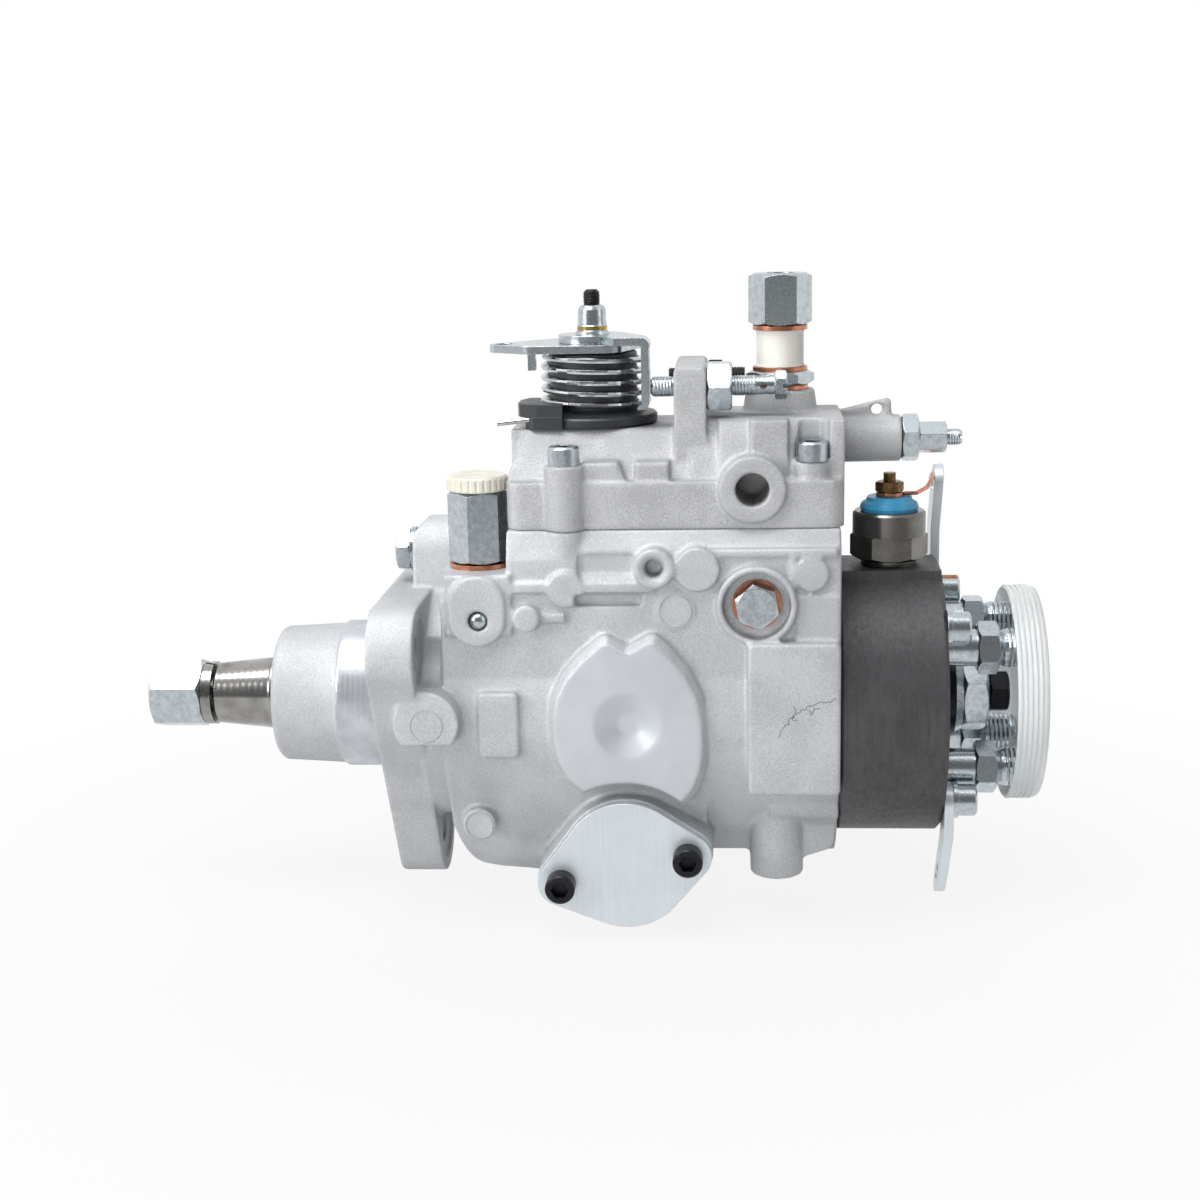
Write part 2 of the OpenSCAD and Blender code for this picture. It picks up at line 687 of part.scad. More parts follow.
module timer_piston() {
  half = timer_len / 2;
  color(bright_steel) difference() {
    y_turned([[-half, 0], [-half, timer_r - 1], [-half + 1, timer_r - run_gap],
      [half - 1, timer_r - run_gap], [half, timer_r - 1], [half, 0]], timer_at[0], timer_at[1]);
    z_rod(pin_r + 1.8, timer_at[1] - 4, 0, timer_pin_x, 0);
    y_rod(timer_r - 3, half - 9, half + 1, timer_at[0], timer_at[1]);
    y_rod(timer_r - 3, -half - 1, -half + 7, timer_at[0], timer_at[1]);
  }
}

// Cam disc, plunger and its springs

spring_y = 20;
lobe_rise = cam_lift;
lobe_half_angle = 27;

module cam_disc() {
  disc_r = chamber_r - 2;
  mid_r = (roller_span[0] + roller_span[1]) / 2;
  half_chord = mid_r * sin(lobe_half_angle);
  lobe_r = (half_chord * half_chord + lobe_rise * lobe_rise) / (2 * lobe_rise);
  color(bright_steel) {
    x_rod(disc_r, cam_face_x, cam_back_x);
    for (a = [0:90:270]) rotate([a, 0, 0]) intersection() {
      translate([cam_face_x + lobe_r - lobe_rise, 0, roller_span[0] - 1])
        cylinder(r = lobe_r, h = disc_r - roller_span[0] + 1);
      box(cam_face_x - lobe_rise - 1, cam_face_x + 0.5, -half_chord - 1, half_chord + 1, 0, 40);
      x_rod(disc_r - 0.4, cam_face_x - 10, cam_back_x);
    }
    rotate([90, 0, 0]) claws(cross_x[0] + cam_lift - 0.5, cam_face_x + 0.5, 0);
  }
}

module plunger() {
  foot_r = plunger_r + 3.5;
  color(bright_steel) difference() {
    x_turned([[cam_back_x, 0], [cam_back_x, foot_r], [yoke_x[0], foot_r], [yoke_x[0], plunger_r],
      [head_rear - 9, plunger_r], [head_rear - 8, plunger_r - 1], [head_rear - 8, 0]]);
    x_rod(1.5, barrel_face_x - 6, head_rear);
    y_rod(1.4, -plunger_r - 1, plunger_r + 1, barrel_face_x - 4.5, 0);
    box(head_rear - 20, head_rear - 14, -1, 1, 0, plunger_r + 1);
  }
}

module spring_yoke() {
  color(dark_steel) difference() {
    cross_plate(yoke_x[0], yoke_x[1])
      links([0, 0], plunger_r + 3, [for (s = [-1, 1]) [[s * spring_y, 0], 6]]);
    x_rod(plunger_r + run_gap, yoke_x[0] - 1, yoke_x[1] + 1);
  }
}

// Two springs behind the yoke, one behind the timing piston, one on the governor lever
module inner_springs() {
  color(zinc) {
    for (s = [-1, 1]) translate([0, s * spring_y, 0]) rotate([0, 90, 0])
      coil(4.4, 0.9, yoke_x[1] + 1.1, barrel_face_x - 1.1, 6, steps = 10);
    translate([timer_at[0], 0, timer_at[1]]) rotate([-90, 0, 0])
      coil(timer_r - 5.2, 1.1, timer_len / 2 - 9 + 1.4, timer_span - 1.4, 6, steps = 12);
    translate([0, -2.5, governor_z + 19.6]) rotate([0, 90, 0])
      coil(2.6, 0.45, lever_x + 8.6, governor_hook_x - 3.2, 7, steps = 8);
  }
}

module control_collar() {
  groove_x = [collar_x[0] + 1.8, collar_x[1] - 1.8];
  color(bright_steel) x_turned([[collar_x[0], plunger_r + run_gap], [collar_x[0], plunger_r + 5],
    [groove_x[0], plunger_r + 5], [groove_x[0], plunger_r + 2.4], [groove_x[1], plunger_r + 2.4],
    [groove_x[1], plunger_r + 5], [collar_x[1], plunger_r + 5], [collar_x[1], plunger_r + run_gap]]);
}

barrel_out_r = 13;
module distributor_barrel() {
  color(dark_steel) difference() {
    x_rod(barrel_out_r, barrel_face_x, head_rear - 5);
    x_rod(plunger_r + run_gap, barrel_face_x - 1, head_rear - 4);
    for (a = [45:90:315]) rotate([a, 0, 0])
      z_rod(1.2, 0, 20, head_rear - 17, 0);
  }
}

// Governor

carrier_x = [gear_x[0], gear_x[1] + 2.4];
weight_x = [carrier_x[1] + 0.6, carrier_x[1] + 12.6];
weight_r = [7.6, 16];
weight_pivot = [weight_x[0] + 1.8, 15];
weight_pivot_r = 1.7;
sleeve_x = [weight_x[1] + 1.9, pivot_at[0] - 8.5];
lever_pivot_r = 2.5;
lever_ball_r = 1.9;
governor_hook_x = 101;

module governor_shaft() {
  color(bright_steel) x_turned([[1.6, 0], [1.6, governor_r], [sleeve_x[1] + 4.2, governor_r],
    [sleeve_x[1] + 5, governor_r - 0.8], [sleeve_x[1] + 5, 0]], 0, governor_z);
}

module flyweight_carrier() {
  color(bright_steel) translate([0, 0, governor_z]) difference() {
    union() {
      cross_plate(gear_x[0], gear_x[1]) rotate(270 + 180 / governor_teeth)
        polygon(gear_outline(governor_teeth));
      x_rod(18.6, gear_x[1], carrier_x[1]);
      for (a = [45:90:315]) rotate([a, 0, 0])
        box(carrier_x[1] - 0.5, weight_x[1], -1.4, 1.4, 9, 18);
    }
    x_rod(governor_r + run_gap, gear_x[0] - 1, weight_x[1] + 1);
  }
}

// One flyweight, drawn above the shaft
module flyweight_shape() {
  toe_x = sleeve_x[0] - 0.25;
  intersection() {
    side_plate(-12, 12) polygon([[weight_x[0], weight_r[0] + 4], [weight_x[0] + 3, weight_r[0]],
      [weight_x[1] - 2, weight_r[0]], [weight_x[1] - 1.4, 5], [toe_x, 5], [toe_x, weight_r[0] - 0.8],
      [weight_x[1], weight_r[0] + 1], [weight_x[1], weight_r[1]], [weight_x[0], weight_r[1]]]);
    cross_plate(weight_x[0] - 2, toe_x + 1)
      polygon([[-1.9, 4.6], [1.9, 4.6], [4.6, weight_r[0]], [9, weight_r[1] - 2], [7, weight_r[1]],
        [-7, weight_r[1]], [-9, weight_r[1] - 2], [-4.6, weight_r[0]]]);
  }
  y_rod(weight_pivot_r, -8.6, 8.6, weight_pivot[0], weight_pivot[1]);
}

module placed_flyweight(number) {
  color("silver") translate([0, 0, governor_z]) rotate([90 * number, 0, 0]) flyweight_shape();
}

module sliding_sleeve() {
  color(bright_steel) x_turned([[sleeve_x[0], governor_r + run_gap], [sleeve_x[0], 8.5],
    [sleeve_x[0] + 2, 8.5], [sleeve_x[0] + 2, 6.5], [sleeve_x[1], 6.5],
    [sleeve_x[1], governor_r + run_gap]], 0, governor_z);
}

module governor_lever() {
  ball_at = [(collar_x[0] + collar_x[1]) / 2, plunger_r + 2.4 + lever_ball_r + 0.35];
  face_x = sleeve_x[1] + seat_gap;
  color(dark_steel) difference() {
    union() {
      for (s = [-1, 1]) side_plate(s * 7 - 1.5, s * 7 + 1.5)
        belt([[[face_x + 2.5, governor_z + 6], 2.5], [pivot_at, 5.5]]);
      side_plate(-6, 6) belt([[pivot_at - [0, 2.5], 2.6], [pivot_at + [1.2, -8], 2]]);
      side_plate(-2, 2) belt([[pivot_at - [0, 3], 3], [ball_at + [0, 5], 1.6]]);
      translate([ball_at[0], 0, ball_at[1]]) sphere(lever_ball_r);
      z_rod(1.2, ball_at[1], ball_at[1] + 6, ball_at[0], 0);
      side_plate(-1.5, 1.5)
        belt([[[governor_hook_x, governor_z + 19], 2.6], [[face_x + 2.6, governor_z + 7.6], 2.4]]);
      box(face_x, face_x + 4, -8.5, 8.5, governor_z + 5, governor_z + 8.5);
      for (s = [-1, 1]) box(face_x, face_x + 3.2, s * 7 - 2, s * 7 + 2, governor_z - 3, governor_z + 8);
    }
    y_rod(lever_pivot_r + run_gap, -12, 12, pivot_at[0], pivot_at[1]);
  }
}

module lever_pivot() {
  color(bright_steel) y_rod(lever_pivot_r, -governor_bay[2] - 7.9, governor_bay[2] + 7.9, pivot_at[0],
    pivot_at[1]);
}

// Governor cover and what it carries

cover_x = [upper_x, rear + 1.1];
base_top_z = joint_z + 15;
cover_top_z = joint_z + 30;
block_top_z = joint_z + 33.3;
block_x = rear - 38;
post_x = [rear - 52, rear - 41.8];
post_top_z = joint_z + 49.5;
stop_z = joint_z + 43;
stop_y = [-21, 7.5];
lever_y = -5;
cross_hole_at = [rear - 27.6, joint_z + 12.5];
cross_hole_r = 5.3;
full_load_at = [-4, joint_z + 23.6];
overflow_at = [rear - 18.2, -5];
overflow_seat_z = joint_z + 40.3;
seat_z = cover_top_z;
cover_screw_at = [column_at, rear_screw_at];
cover_seat_z = [joint_z + 20.4, joint_z + 20.7];
screw_head_r = 5;
screw_head_h = 6;

module cover_top_section(half_near, half_far, top) {
  polygon([[-34, base_top_z - 6], [-34, base_top_z], [-half_near - 3, top - 6], [-half_near, top - 1],
    [-half_near + 1.5, top], [half_far - 1.5, top], [half_far, top - 1], [half_far + 3, top - 6],
    [34, base_top_z], [34, base_top_z - 6]]);
}

module cover_outside() {
  translate([0, 0, joint_z]) linear_extrude(base_top_z - joint_z)
    round_rect([cover_x[0], -cover_half_w], [cover_x[1], cover_half_w], 5);
  difference() {
    cross_plate(cover_x[0] + 0.6, cover_x[1] - 2) cover_top_section(24, 14, cover_top_z);
    translate([cover_x[0], -60, base_top_z + 1]) rotate([0, -68, 0])
      cube([30, 38, 20]);
  }
  cross_plate(block_x, cover_x[1]) cover_top_section(28, 9, block_top_z);
  difference() {
    cross_plate(block_x - 9, block_x + 1) cover_top_section(26, 9, block_top_z);
    translate([block_x - 9, -50, cover_top_z - 4]) rotate([0, -60, 0]) cube([20, 100, 20]);
  }
  for (s = [-1, 1]) {
    z_rod(column_r + 0.2, joint_z, cover_seat_z[0], column_at[0], s * column_at[1]);
    pillar_top_z = s < 0 ? block_top_z : base_top_z + 6;
    for (x = [[post_x[1] + 13.6, post_x[1] + 25.4], [rear - 5.5, cover_x[1]]])
      box(x[0], x[1], s < 0 ? -34 : 20, s < 0 ? -20 : 34, base_top_z - 1, pillar_top_z);
    z_rod(6, joint_z + 1, cover_seat_z[1], rear_screw_at[0], s * (rear_screw_at[1] - 1.4));
  }
  side_plate(-cover_half_w + 1, -20) {
    polygon([[68, base_top_z - 1], [82, base_top_z - 1], [79, base_top_z + 6], [68, base_top_z + 6]]);
    translate([84.5, base_top_z - 1]) square([10.5, 7]);
  }
  side_plate(-30, 14) polygon([[post_x[0], base_top_z - 1], [post_x[0], post_top_z - 1],
    [post_x[0] + 1, post_top_z], [post_x[1] - 1, post_top_z], [post_x[1], post_top_z - 1],
    [post_x[1], cover_top_z], [post_x[1] + 1.4, base_top_z - 1]]);
  y_rod(10.5, -cover_half_w - 2.6, -20, cross_hole_at[0], cross_hole_at[1]);
  z_turned([[block_top_z - 1, 0], [block_top_z - 1, 12.2], [overflow_seat_z, 11], [overflow_seat_z, 0]],
    overflow_at[0], overflow_at[1]);
  z_rod(15, cover_top_z - 8, seat_z, lever_x, lever_y);
  x_turned([[cover_x[1] - 2, 0], [cover_x[1] - 2, 7.8], [rear + 20.8, 7.6], [rear + 20.8, 0]],
    full_load_at[0], full_load_at[1]);
  side_plate(full_load_at[0] - 3, full_load_at[0]) polygon([[rear + 1, full_load_at[1] + 9.6],
    [rear + 1, full_load_at[1] + 2], [rear + 18, full_load_at[1] + 4], [rear + 17.4, full_load_at[1] + 12.6],
    [rear + 16.2, full_load_at[1] + 13.2]]);
}

module governor_cover() {
  bay_end = rear - 35.4;
  color(cover_grey) difference() {
    cover_outside();
    box(governor_bay[0] + 1, bay_end, -governor_bay[2] + 1, governor_bay[2] - 1, joint_z - 1, joint_z + 17);
    z_rod(lever_shaft_d / 2 + run_gap, joint_z, seat_z + 20, lever_x, lever_y);
    y_rod(cross_hole_r, -60, -14, cross_hole_at[0], cross_hole_at[1]);
    x_rod(4.8 + thread_gap, bay_end - 1, rear + 30, full_load_at[0], full_load_at[1]);
    z_rod(5 + thread_gap, overflow_seat_z - 9, overflow_seat_z + 1, overflow_at[0], overflow_at[1]);
    y_rod(1.9, -20, 20, rear + 12.9, full_load_at[1] + 9.6);
    for (y = stop_y)
      x_rod(3 + thread_gap, post_x[0] - 1, post_x[1] + 3, y, stop_z);
    for (i = [0:1], s = [-1, 1]) {
      p = cover_screw_at[i];
      z_rod(3.25, joint_z - 1, joint_z + 40, p[0], s * p[1]);
      z_rod(screw_head_r + 0.5, cover_seat_z[i], joint_z + 50, p[0], s * p[1]);
    }
    for (s = [-1, 1])
      box(rear - 12.8, rear - 5.5, s < 0 ? -60 : 27, s < 0 ? -27 : 60, cover_seat_z[1], joint_z + 50);
  }
}

module cover_screws() {
  color(zinc) for (i = [0:1], s = [-1, 1]) {
    p = cover_screw_at[i];
    translate([p[0], s * p[1], cover_seat_z[i]])
      cap_screw(6, 2 * screw_head_r, screw_head_h, cover_seat_z[i] - joint_z + 12);
  }
}

// Control lever on top

seat_disc = [seat_z, seat_z + 3.4];
core_top_z = seat_z + 23.2;
tab_t = 2.5;
plate_z = [seat_z + 23.6, seat_z + 23.6 + tab_t];
bracket_z = [plate_z[1] + 0.1, plate_z[1] + 0.1 + tab_t];
tab_x = lever_x + 16.6;
tab_reach = [-19.5, -8.4];
lever_top_z = seat_z + 43;
crank_z = governor_z + 22.85;
spring_leg_at = [lever_x - 29.8, lever_y - 17, seat_z + 1.9];
stud_r = 2.5;

module lever_shaft() {
  r = lever_shaft_d / 2;
  color(bright_steel) {
    z_turned([[crank_z + 1, 0], [crank_z + 1, r], [bracket_z[1] - 0.1, r], [bracket_z[1] - 0.1, stud_r],
      [lever_top_z - 0.8, stud_r], [lever_top_z, stud_r - 0.8], [lever_top_z, 0]], lever_x, lever_y);
    translate([lever_x, lever_y, crank_z]) {
      box(-3, 9, -4, 4, 0, 3.1);
      z_rod(1.8, -2.6, 0.5, 6, 0);
    }
  }
}

module spring_seat() {
  hole_r = lever_shaft_d / 2 + 0.3;
  core_r = return_spring_r - return_wire_d / 2 - 0.85;
  color(black) difference() {
    union() {
      z_turned([[seat_disc[0], 0], [seat_disc[0], 20], [seat_disc[0] + 0.8, 20.8],
        [seat_disc[1] - 0.6, 20.8], [seat_disc[1], 20.2], [seat_disc[1] + 1, core_r + 1.2],
        [seat_disc[1] + 2, core_r], [core_top_z - 0.5, core_r], [core_top_z, core_r - 0.5],
        [core_top_z, 0]], lever_x, lever_y);
      seat_arm();
    }
    z_rod(hole_r, seat_z - 1, core_top_z + 1, lever_x, lever_y);
    spring_leg(press_gap);
  }
}

module seat_arm() {
  translate([lever_x, lever_y, seat_disc[0]]) {
    linear_extrude(4) polygon([[-20.8, -16], [-18, -19.6], [-8.6, -20.4], [-8.6, -12], [-12, 2],
      [-20.8, 2]]);
    translate([0, 0, 3.9]) linear_extrude(4.1) polygon([[-23.4, -13], [-22.4, -16.5], [-17, -18.8],
      [-8.6, -20.4], [-8.6, -16], [-13.4, -12.8], [-17.5, -5], [-17.5, 2], [-21, 2], [-23.4, -4]]);
  }
}

module spring_leg(gap) {
  translate(spring_leg_at) rotate([0, 84, 0]) cylinder(r = 0.8 + gap, h = 14);
}

module return_spring() {
  color(zinc) {
    translate([lever_x, lever_y, 0]) coil(return_spring_r, return_wire_d / 2, plate_z[0] - 1.6,
      seat_disc[1] + 2.4, 4.6, steps = 24, sides = 8, start = 200);
    spring_leg(0);
  }
}

module stop_bracket() {
  color(zinc) difference() {
    union() {
      translate([lever_x, lever_y, bracket_z[0]]) linear_extrude(tab_t)
        circle(11);
      translate([lever_x, lever_y, bracket_z[0]]) linear_extrude(tab_t)
        polygon([[2, -9], [8, tab_reach[0]], [tab_x - lever_x, tab_reach[0]],
          [tab_x - lever_x, tab_reach[1]], [9, 7]]);
      bracket_tab();
    }
    z_rod(lever_shaft_d / 2 + press_gap, bracket_z[0] - 1, bracket_z[1] + 1, lever_x, lever_y);
  }
}

// The tab bends down past the spring and ends in a hook
module bracket_tab() {
  x1 = tab_x + tab_t;
  low = seat_disc[1] + 2.4;
  side_plate(lever_y + tab_reach[0], lever_y + tab_reach[1]) union() {
    translate([tab_x, low + 2]) square([tab_t, bracket_z[1] - low - 4]);
    intersection() {
      translate([tab_x - 0.2, bracket_z[1] - 3]) difference() {
        circle(3);
        circle(0.2);
      }
      translate([tab_x - 0.2, bracket_z[1] - 3]) square(4);
    }
    translate([tab_x, low + 2]) circle(0.01);
    polygon([[tab_x, low + 2], [x1, low + 2], [x1 - 0.6, low + 0.6], [tab_x - 1, low],
      [tab_x - 1.4, low + 0.8]]);
  }
}

module control_arm() {
  arm_hole = [-28.6, -3];
  color(zinc) difference() {
    union() {
      translate([lever_x, lever_y, plate_z[0]]) linear_extrude(tab_t)
        belt([[arm_hole, 4.6], [[-6, 10], 10.5], [[4, 8], 12], [[4, -8], 7], [[-18, -9], 6]]);
      translate([lever_x - 19.8, lever_y - 14, plate_z[0] - 5.2]) cube([2.4, 4, 5.4]);
    }
    z_rod(lever_shaft_d / 2 + press_gap, plate_z[0] - 1, plate_z[1] + 1, lever_x, lever_y);
    z_rod(3, plate_z[0] - 1, plate_z[1] + 1, lever_x + arm_hole[0], lever_y + arm_hole[1]);
  }
}

module lever_nut() {
  z0 = bracket_z[1];
  color(zinc) translate([lever_x, lever_y, 0]) difference() {
    turned([[z0, 0], [z0, 5.6], [z0 + 1.2, 5.1], [z0 + 1.2, 4.7], [z0 + 1.5, 4.9], [z0 + 2.7, 4.9],
      [z0 + 3, 4.7], [z0 + 7.9, 4.5], [z0 + 8.9, 4], [z0 + 9.4, 3.3], [z0 + 9.4, 0]]);
    z_rod(stud_r + thread_gap, z0 - 1, z0 + 20);
  }
}

// Screws through the post: full speed in front, idle behind
module stop_screws() {
  tip_x = tab_x + tab_t + seat_gap;
  far_tip_x = post_x[0] - 2.6;
  head_x = post_x[1] + 21.6;
  color(zinc) difference() {
    union() {
      x_turned([[tip_x, 0], [tip_x, 2.2], [tip_x + 0.8, 3], [head_x, 3], [head_x, 0]],
        stop_y[0], stop_z);
      x_hex(14.6, post_x[1] + 0.05, post_x[1] + 8.1, stop_y[0], stop_z, turn = 30);
      x_hex(8, head_x - 0.1, head_x + 3.8, stop_y[0], stop_z);
    }
    y_rod(1.1, stop_y[0] - 6, stop_y[0] + 6, head_x - 3.6, stop_z);
    box(head_x + 2.4, head_x + 5, stop_y[0] - 8, stop_y[0] + 8, stop_z - 0.6, stop_z + 0.6);
  }
  color(dark_steel) {
    x_rod(3, far_tip_x, post_x[1] + 12.3, stop_y[1], stop_z);
    x_hex(10, post_x[1] + 0.05, post_x[1] + 5.2, stop_y[1], stop_z, turn = 8);
  }
}

module full_load_screw() {
  x0 = rear + 20.9;
  color(zinc) difference() {
    union() {
      x_rod(4.8, rear - 24, x0 + 2, full_load_at[0], full_load_at[1]);
      x_hex(14, x0, x0 + 5.6, full_load_at[0], full_load_at[1], turn = 12);
      x_hex(9.2, x0 + 5.5, x0 + 14.6, full_load_at[0], full_load_at[1], turn = 12);
      x_turned([[x0 + 14, 0], [x0 + 14, 2.5], [x0 + 19, 2.5], [x0 + 19.6, 2], [x0 + 19.6, 0]],
        full_load_at[0], full_load_at[1]);
    }
    box(x0 + 18, x0 + 21, full_load_at[0] - 4, full_load_at[0] + 4, full_load_at[1] - 0.5,
      full_load_at[1] + 0.5);
  }
}

// Return union on the cover: bolt, sleeve and lower nut
module overflow_union() {
  z0 = overflow_seat_z;
  bore_r = 5.2;
  translate([overflow_at[0], overflow_at[1], 0]) {
    color(copper) for (w = [[0, 1.3, 9], [6, 7.2, 8.8], [19, 20.4, 8.8]])
      turned([[z0 + w[0], bore_r], [z0 + w[0], w[2]], [z0 + w[1], w[2]], [z0 + w[1], bore_r]]);
    color(zinc) {
      difference() {
        hex_bar(19, z0 + 1.4, z0 + 5.9);
        z_rod(5 + thread_gap, z0, z0 + 12);
      }
      difference() {
        union() {
          z_rod(5, z0 - 8, z0 + 30);
          hex_bar(17.6, z0 + 20.5, z0 + 36.9);
        }
        z_rod(2, z0 - 9, z0 + 18);
        z_rod(4.6, z0 + 32, z0 + 38);
      }
    }
    color("whitesmoke") turned([[z0 + 7.3, bore_r], [z0 + 7.3, 7.9], [z0 + 8.5, 7.6], [z0 + 17.6, 7.6],
      [z0 + 18.9, 7.9], [z0 + 18.9, bore_r]]);
  }
}

// Distributor head and its fittings

outlet_at = outlet_r / sqrt(2);
union_x = [head_rear - 9, head_rear, head_rear + 10.7, head_rear + 17.8, head_rear + 30];
valve_x = [head_rear + 2, head_rear + 14];
valve_r = 3;
cap_in_r = outlet_r + outlet_thread_d / 2 + 0.35;
cap_out_r = cap_in_r + 1;
cap_x = [union_x[4] - 7.5, union_x[4] + seat_gap, union_x[4] + 2.7];
solenoid_at = [rear + 17.4, -5];
solenoid_seat_z = 45.2;
strap_t = 3;
washer_h = 1.6;

module distributor_head() {
  r = head_d / 2;
  port_floor_z = 28;
  color(dark_steel) difference() {
    union() {
      x_turned([[rear, 0], [rear, r - 1], [rear + 0.8, r], [head_rear - 1.2, r], [head_rear, r - 1.2],
        [head_rear, 0]]);
      x_rod(chamber_r - run_gap, barrel_face_x, rear + 1);
      box(rear + 0.3, head_rear - 0.6, -18.4, 7, 20, solenoid_seat_z);
    }
    box(rear - 1, head_rear + 1, -18.5, 9, solenoid_seat_z, r + 5);
    x_rod(barrel_out_r + press_gap, barrel_face_x - 1, head_rear - 5);
    x_rod(10 + thread_gap, head_rear - 6, head_rear + 1);
    for (y = [-1, 1], z = [-1, 1]) {
      x_rod(6 + thread_gap, head_rear - 14, head_rear + 1, y * outlet_at, z * outlet_at);
      x_rod(3.25, rear - 1, head_rear + 1, y * head_screw_at, z * head_screw_at);
    }
    z_rod(9 + thread_gap, port_floor_z, r + 5, solenoid_at[0], solenoid_at[1]);
    z_rod(2.5, barrel_out_r - 2, port_floor_z + 1, solenoid_at[0], 0);
  }
}

// Two of the screws hold the straps, and each has a washer
module head_screws() {
  color(zinc) for (y = [-1, 1], z = [-1, 1]) {
    seat_x = head_rear + (y == z ? strap_t : 0);
    translate([seat_x + washer_h, y * head_screw_at, z * head_screw_at]) rotate([0, 90, 0])
      cap_screw(6, 10.4, 6, seat_x + washer_h - rear + 15);
    difference() {
      x_rod(5.9, seat_x, seat_x + washer_h, y * head_screw_at, z * head_screw_at);
      x_rod(2.5, seat_x - 1, seat_x + 2, y * head_screw_at, z * head_screw_at);
    }
  }
}

module centre_plug() {
  x0 = head_rear;
  color(black) x_turned([[x0 - 4.8, 0], [x0 - 4.8, 9], [x0 - 4, 10], [x0, 10], [x0, 13.4], [x0 + 2, 13.4],
    [x0 + 2, 14.8], [x0 + 2.4, 15.2], [x0 + 5.2, 15.2], [x0 + 5.6, 14.8], [x0 + 5.6, 0]]);
  color(zinc) {
    x_turned([[x0 + 5.6, 0], [x0 + 5.6, 14], [x0 + 8.2, 12.6], [x0 + 8.2, 0]]);
    x_hex(24, x0 + 8.1, x0 + 16.6, turn = 5);
  }
  color(black) {
    x_rod(4.6, x0 + 16.6, x0 + 17.8);
    x_hex(12.6, x0 + 17.7, x0 + 24.1, turn = 10);
  }
}

module delivery_unions() {
  color(zinc) for (y = [-1, 1], z = [-1, 1]) translate([0, y * outlet_at, z * outlet_at]) difference() {
    union() {
      x_turned([[union_x[0], 0], [union_x[0], 5.4], [union_x[0] + 0.6, 6], [union_x[3], 6],
        [union_x[3] + 0.6, outlet_thread_d / 2 - 0.6],
        [union_x[3] + 1.6, outlet_thread_d / 2], [union_x[4] - 1, outlet_thread_d / 2],
        [union_x[4], outlet_thread_d / 2 - 1], [union_x[4], 0]]);
      x_hex(15, union_x[2], union_x[3], turn = 10 + 20 * y);
    }
    x_turned([[union_x[0] - 1, 0], [union_x[0] - 1, 1.6], [valve_x[0] - 0.3, 1.6],
      [valve_x[0] - 0.3, valve_r + run_gap], [valve_x[1] + 2.6, valve_r + run_gap],
      [valve_x[1] + 3.6, 1.5], [union_x[4] - 3, 1.5], [union_x[4] + 0.1, 4], [union_x[4] + 0.1, 0]]);
  }
}

// Outlets are counted from the far upper one
outlet_sides = [[1, 1], [-1, 1], [-1, -1], [1, -1]];

module placed_valve(number) {
  side = outlet_sides[number];
  color(bright_steel) x_turned([[valve_x[0], 0], [valve_x[0], 2], [valve_x[0] + 1, valve_r],
    [valve_x[0] + 4, valve_r], [valve_x[0] + 5, 1.6], [valve_x[0] + 8, 1.6], [valve_x[0] + 9, valve_r],
    [valve_x[1], valve_r], [valve_x[1], 0]], side[0] * outlet_at, side[1] * outlet_at);
}

module delivery_cap() {
  ridges = 5;
  pitch = (cap_x[2] - cap_x[0] - 2) / ridges;
  color([0.93, 0.95, 0.96]) difference() {
    union() {
      x_turned([[cap_x[0], 0], [cap_x[0], cap_out_r - 0.4], [cap_x[2] - 1.2, cap_out_r - 0.4],
        [cap_x[2] - 0.3, cap_out_r - 0.9], [cap_x[2], cap_out_r - 2], [cap_x[2] + 1.3, 20],
        [cap_x[2] + 1.8, 8], [cap_x[2] + 1.8, 0]]);
      for (i = [0:ridges - 1])
        x_rod(cap_out_r, cap_x[0] + 0.4 + pitch * i, cap_x[0] + 0.4 + pitch * (i + 0.55));
    }
    x_rod(cap_in_r, cap_x[0] - 1, cap_x[1]);
  }
}

function strap_tip(sign) = sign > 0 ? 73 : 60;

module strap_plate(sign) {
  top = strap_tip(sign);
  bend = sign > 0 ? 52 : head_d / 2 - 6;
  lean = sign > 0 ? 1.5 : -2.6;
  side_plate(sign * head_screw_at - 9, sign * head_screw_at + 9) polygon([
    [head_rear, sign * 20], [head_rear, sign * bend], [head_rear + lean, sign * (top + 2)],
    [head_rear + lean + strap_t, sign * (top + 2)], [head_rear + strap_t, sign * bend],
    [head_rear + strap_t, sign * 20]]);
}

module strap(sign) {
  top = strap_tip(sign);
  centre = sign * head_screw_at;
  end_r = sign > 0 ? 6.5 : 4.5;
  color(zinc) difference() {
    intersection() {
      strap_plate(sign);
      cross_plate(head_rear - 10, head_rear + 10)
        belt(sign > 0 ? [[[centre, 29.4], 6], [[centre, top - end_r], end_r]]
          : [[[centre, -29.4], 6], [[centre, -top + end_r], end_r]]);
    }
    x_rod(3.25, head_rear - 1, head_rear + 5, centre, centre);
    x_rod(2.6, head_rear - 10, head_rear + 10, centre, sign * (top - 7));
  }
}

module straps() {
  strap(1);
  strap(-1);
}

